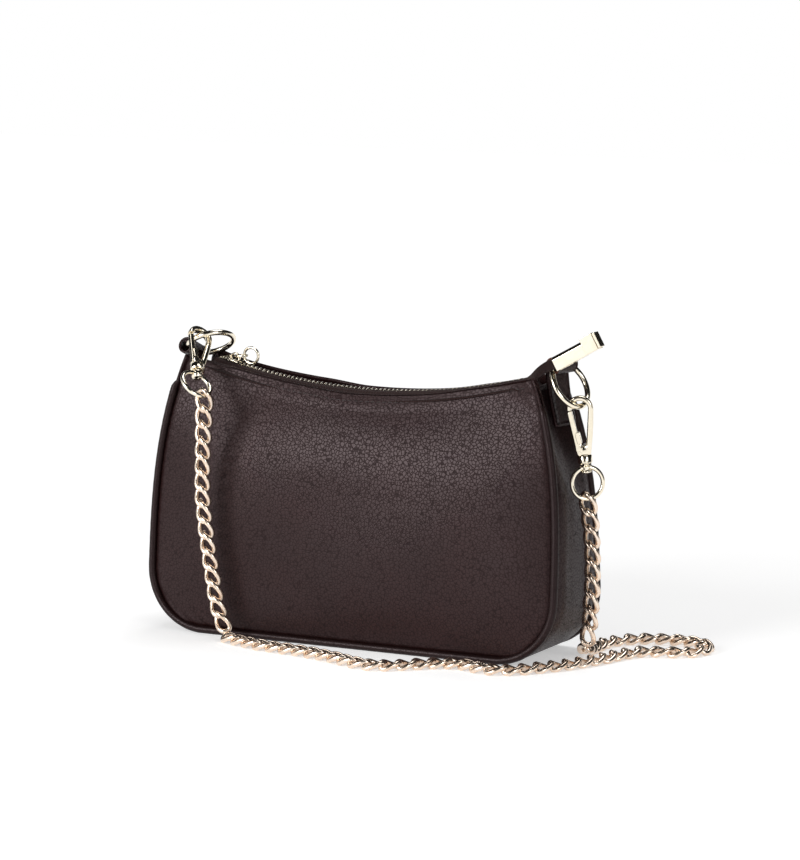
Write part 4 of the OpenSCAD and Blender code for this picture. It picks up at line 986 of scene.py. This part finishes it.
def tab(name, pivot, out, up, turn, leg, spin, mirrored, body):
    """A roll and its leg. The roll is a spiral of one strip, one and a third turns from its raw
    inner end to where it runs down into the leg; the leg is both ends of the strip, and goes
    from the side of the roll to its seat on the gusset."""
    seat_z = HIGH - leg
    seat = gusset_x(TAB_W / 2, seat_z) - TOP_HALF + 0.3 + TAB_W / 2 * abs(np.sin(np.radians(spin)))
    slope = np.arctan2(seat - out + FOLD + 0.7, up + leg)
    a = np.radians(np.linspace(180 - 480, 180, ROLL_ROWS))
    r = ROLL_IN + (FOLD - ROLL_IN) * ease((np.degrees(a) + 300) / 400)
    y = np.linspace(-TAB_W / 2, TAB_W / 2, ROLL_COLS)
    spiral = np.stack(np.broadcast_arrays(
        (r * np.cos(a))[:, None], y[None], (r * np.sin(a))[:, None]), -1)
    spiral = turned(spiral, (turn, 0, 0))
    points, faces, _ = hide(spiral, 1.2)
    split = len(faces) - RIM_STEPS * (2 * (ROLL_ROWS + ROLL_COLS) - 4)
    d = np.linspace(0, 1, 24)[:, None]
    low = np.stack([-FOLD + 0.75 + 0 * y, y, 0 * y - leg - up], -1)
    low = np.stack([low[:, 0] * np.cos(slope) - low[:, 2] * np.sin(slope), low[:, 1],
                    low[:, 0] * np.sin(slope) + low[:, 2] * np.cos(slope)], -1)
    high = turned(np.stack([-FOLD + 0.72 + 0 * y, y, 0 * y - 0.4], -1), (turn, 0, 0))
    strip = high[None] * (1 - d[..., None]) + low[None] * d[..., None]
    strip = strip - np.array([1, 0, 0]) * (0.7 * np.sin(np.pi * d) ** 2)[..., None]
    some, which, _ = hide(strip, 2.5)
    order = [list(f) for f in faces[:split]] + [[k + len(points) for k in f] for f in which]
    raw = [list(f) for f in faces[split:]]
    flip = np.array([-1, 1, 1]) if mirrored else 1
    place = lambda p: turned(p, (0, 0, spin)) * flip + pivot
    made = put(name, place(np.vstack([points, some])), order + raw, leather)
    if not mirrored:
        made.data.materials.append(raw_core)
        index = np.zeros(len(made.data.polygons), dtype=np.int32)
        index[len(order):] = 1
        made.data.polygons.foreach_set("material_index", index)
    out_way = np.array([1.0, 0, 0])
    d = np.arange(0.5, 0.95, 0.105)
    rows = []
    for edge in (-5.9, 5.9):
        k = np.array([[f, f + 0.075] for f in d])[..., None]
        at = (edge + TAB_W / 2) / TAB_W
        a0, a1 = high[0] * (1 - at) + high[-1] * at, low[0] * (1 - at) + low[-1] * at
        rows.append(a0 * (1 - k) + a1 * k + out_way * 1.45 - out_way * 0.7 * np.sin(np.pi * k) ** 2)
    ends = place(np.vstack(rows))
    away = place(out_way[None]) - place(np.zeros((1, 3)))
    sewing = stitches(name + "_stitches", ends, np.repeat(away, len(ends), 0))
    for part in (made, sewing):
        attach(part, body)
    return made


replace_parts(tab("right_tab", right_pivot, 5, 5.4, 0, 24, -12, False, "bag"), "tab_right")
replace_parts(tab("left_tab", left_pivot, 2.5, 1, -23, 16.8, 0, True, "bag"), "tab_left")

# The rings: round rings of polished wire that hang in the rolls of the tabs.
RING_R, RING_WIRE, RING_DROP = 12.25, 3.0, 10.9678
for name, pivot, turn, lean, node in (
        ("right_ring", right_pivot, (0, 0, -12), 30, "ring_right"),
        ("left_ring", left_pivot, (-23, 0, 0), 114, "ring_left")):
    line = circle[:, [1, 0, 2]] * RING_R - [0, 0, RING_DROP]
    points, faces = loop(line, [1, 0, 0], RING_WIRE / 2, 20)
    points = turned(turned(points, (0, -lean, 0)), turn) + pivot
    made = put(name, points, faces, bright_gold)
    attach(made, node)
    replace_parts(made, node)

# The snap hooks: cast frames with a round head over the ring. A gate on a pin closes the left
# side, pushed shut by a coil spring in the foot. Under the foot a barrel holds the swivel post.
RIM, HEAD, FOOT, HEAD_Z, FOOT_Z, THICK = 2.7, 6.8, 3.672, -1.1, -23.0, 4.0
TILT = np.radians(8.2117)
FOOT_ARCS = (FOOT_Z, FOOT), (FOOT_Z + 4.59, 1.63439)
hook_places = {
    "right": (np.array([120.355, -1.31363, 131.293]), (0, -6.04077, 20)),
    "left": (np.array([-96.4804, -11.2331, 155.893]), (-53, 27, 46))}


def at_hook(points, which):
    """Places a piece of a hook, made with the ring's wire at its origin."""
    place, turn = hook_places[which]
    return turned(points, turn) + place


def arc(z, radius, start, end, steps):
    """Points of an arc about a place on the hook's middle line, as x and z."""
    a = np.radians(np.linspace(start, end, steps))
    return np.stack([radius * np.cos(a), z + radius * np.sin(a)], -1)


def band(outer, inner, thick, shift=0.0):
    """Metal between two outlines of as many points, given a thickness: a frame that is open
    where the outlines end. Its section is a rectangle with well rounded corners."""
    n, sides, power = len(outer), 16, 0.55
    a = -full_turn(sides, 0.5)
    in_out = oval(np.cos(a), power)[None, :, None]
    y = oval(np.sin(a), power) * thick / 2 + shift
    at = (outer + inner)[:, None] / 2 + in_out * (outer - inner)[:, None] / 2
    points = np.stack([at[..., 0], np.broadcast_to(y, (n, sides)), at[..., 1]], -1)
    faces = [list(f) for f in weave(n, sides, around=True)]
    ends = [list(range(sides)), list(range(sides * n - 1, sides * (n - 1) - 1, -1))]
    return points.reshape(-1, 3), faces + ends


def lathe(profile, sides=28):
    """A profile of radius and height turned round the upright axis, closed at both ends."""
    a = full_turn(sides)
    profile = np.asarray(profile, float)
    rings = np.stack([profile[:, :1] * np.cos(a), profile[:, :1] * np.sin(a),
                      np.broadcast_to(profile[:, 1:], (len(profile), sides))], -1)
    n = len(profile) * sides
    return rings.reshape(-1, 3), ([list(f) for f in weave(len(profile), sides, around=True)]
                                  + [list(range(sides))[::-1], list(range(n - sides, n))])


tilt = np.degrees(TILT)
head_out, head_in = (arc(HEAD_Z, r, 184, -tilt, 40) for r in (HEAD, HEAD - RIM))
foot_out, foot_in = (arc(z, r, -tilt, -118, 16) for z, r in FOOT_ARCS)
steps = np.linspace(0, 1, 12)[1:-1, None]
spine_out = head_out[-1] * (1 - steps) + foot_out[0] * steps
spine_in = head_in[-1] * (1 - steps) + foot_in[0] * steps
spine_out[:, 0] += 0.35 * np.sin(np.pi * steps[:, 0])
frame_out = np.vstack([head_out, spine_out, foot_out])
frame_in = np.vstack([head_in, spine_in, foot_in])
cheek_out, cheek_in = (arc(z, r, -105, -188, 14) for z, r in FOOT_ARCS)
CHEEK_T, CHEEK_Y = 0.9, 1.55
barrel = [(0.6, -29.18), (3.2, -29.18), (3.765, -28.6), (3.765, -25.3), (3.2, -24.6), (1.9, -24.3)]
hook_frame = joined(band(frame_out, frame_in, THICK), band(cheek_out, cheek_in, CHEEK_T, CHEEK_Y),
                    band(cheek_out, cheek_in, CHEEK_T, -CHEEK_Y), lathe(barrel))


def at_gate(points):
    """Places a piece of the gate, made upright over its pin."""
    reach = FOOT - RIM / 2
    return tipped(points, TILT) + [-reach * np.cos(TILT), 0, FOOT_Z - reach * np.sin(TILT)]


GATE_L, GATE_T, ROOT = 21.6755, 2.05, 1.674
a = np.radians(np.linspace(180, 360, 13))
gate_outline = np.vstack([
    np.stack([ROOT * np.cos(a), ROOT * np.sin(a)], -1),
    [[1.35, 3.5], [1.2, GATE_L - 5], [1.2, GATE_L - 0.4], [0.4, GATE_L], [-0.5, GATE_L - 0.05],
     [-1.25, GATE_L - 0.9], [-1.35, 3.5]]])
thumb = squircle(2.6, 6.4, 0.5, 20)
points, faces = extruded(thumb, 3.0)
thumb_block = (points + [1.15, 0, 7.2], faces)
gate_shape = joined(extruded(gate_outline, GATE_T), thumb_block)
pin = extruded(disc * 0.78, THICK + 0.1)
for which in ("right", "left"):
    frame_piece = put(which + "_hook_frame", at_hook(hook_frame[0], which), hook_frame[1],
                      bright_gold)
    crisp(frame_piece, 0.25)
    gate = put(which + "_gate", at_hook(at_gate(gate_shape[0]), which), gate_shape[1], bright_gold)
    crisp(gate, 0.3)
    rivet = put(which + "_gate_pin", at_hook(at_gate(pin[0]), which), pin[1], bright_gold)
    crisp(rivet, 0.12)
    for made, node, body in ((frame_piece, "hook_", "hook_"), (gate, "gate_", "gate_"),
                             (rivet, "gate_pin_", "hook_")):
        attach(made, body + which)
        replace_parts(made, node + which)

# The swivel eyes: a round ring of wire on a short collar. Its post stands in the barrel of the
# hook and is riveted there, and a rivet head shows inside the ring.
EYE_Z, EYE_R, EYE_WIRE = -39.2574, 8.15, 2.3
collar = [(1.6, -29.4), (1.6, -30.2), (2.3, -30.35), (2.6, -30.75), (2.2, -31.3), (1.75, -32.1),
          (1.75, -32.6), (2.5, -32.8), (2.75, -33.3), (2.4, -33.85), (1.2, -34.05)]
for which, turn in (("right", 20), ("left", 0)):
    points, faces = joined(loop(circle * EYE_R + [0, 0, EYE_Z], [0, 1, 0], EYE_WIRE / 2, 18),
                           lathe(collar[::-1]))
    made = put(which + "_eye", at_hook(turned(points, (0, 0, turn)), which), faces, bright_gold)
    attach(made, "eye_" + which)
    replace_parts(made, "eye_" + which)
spring_steel = plated("spring_steel", (0.55, 0.55, 0.56), (0.45, 0.45, 0.47), 0.25, 0.4)
for which in ("right", "left"):
    dress("gate_spring_" + which, spring_steel)
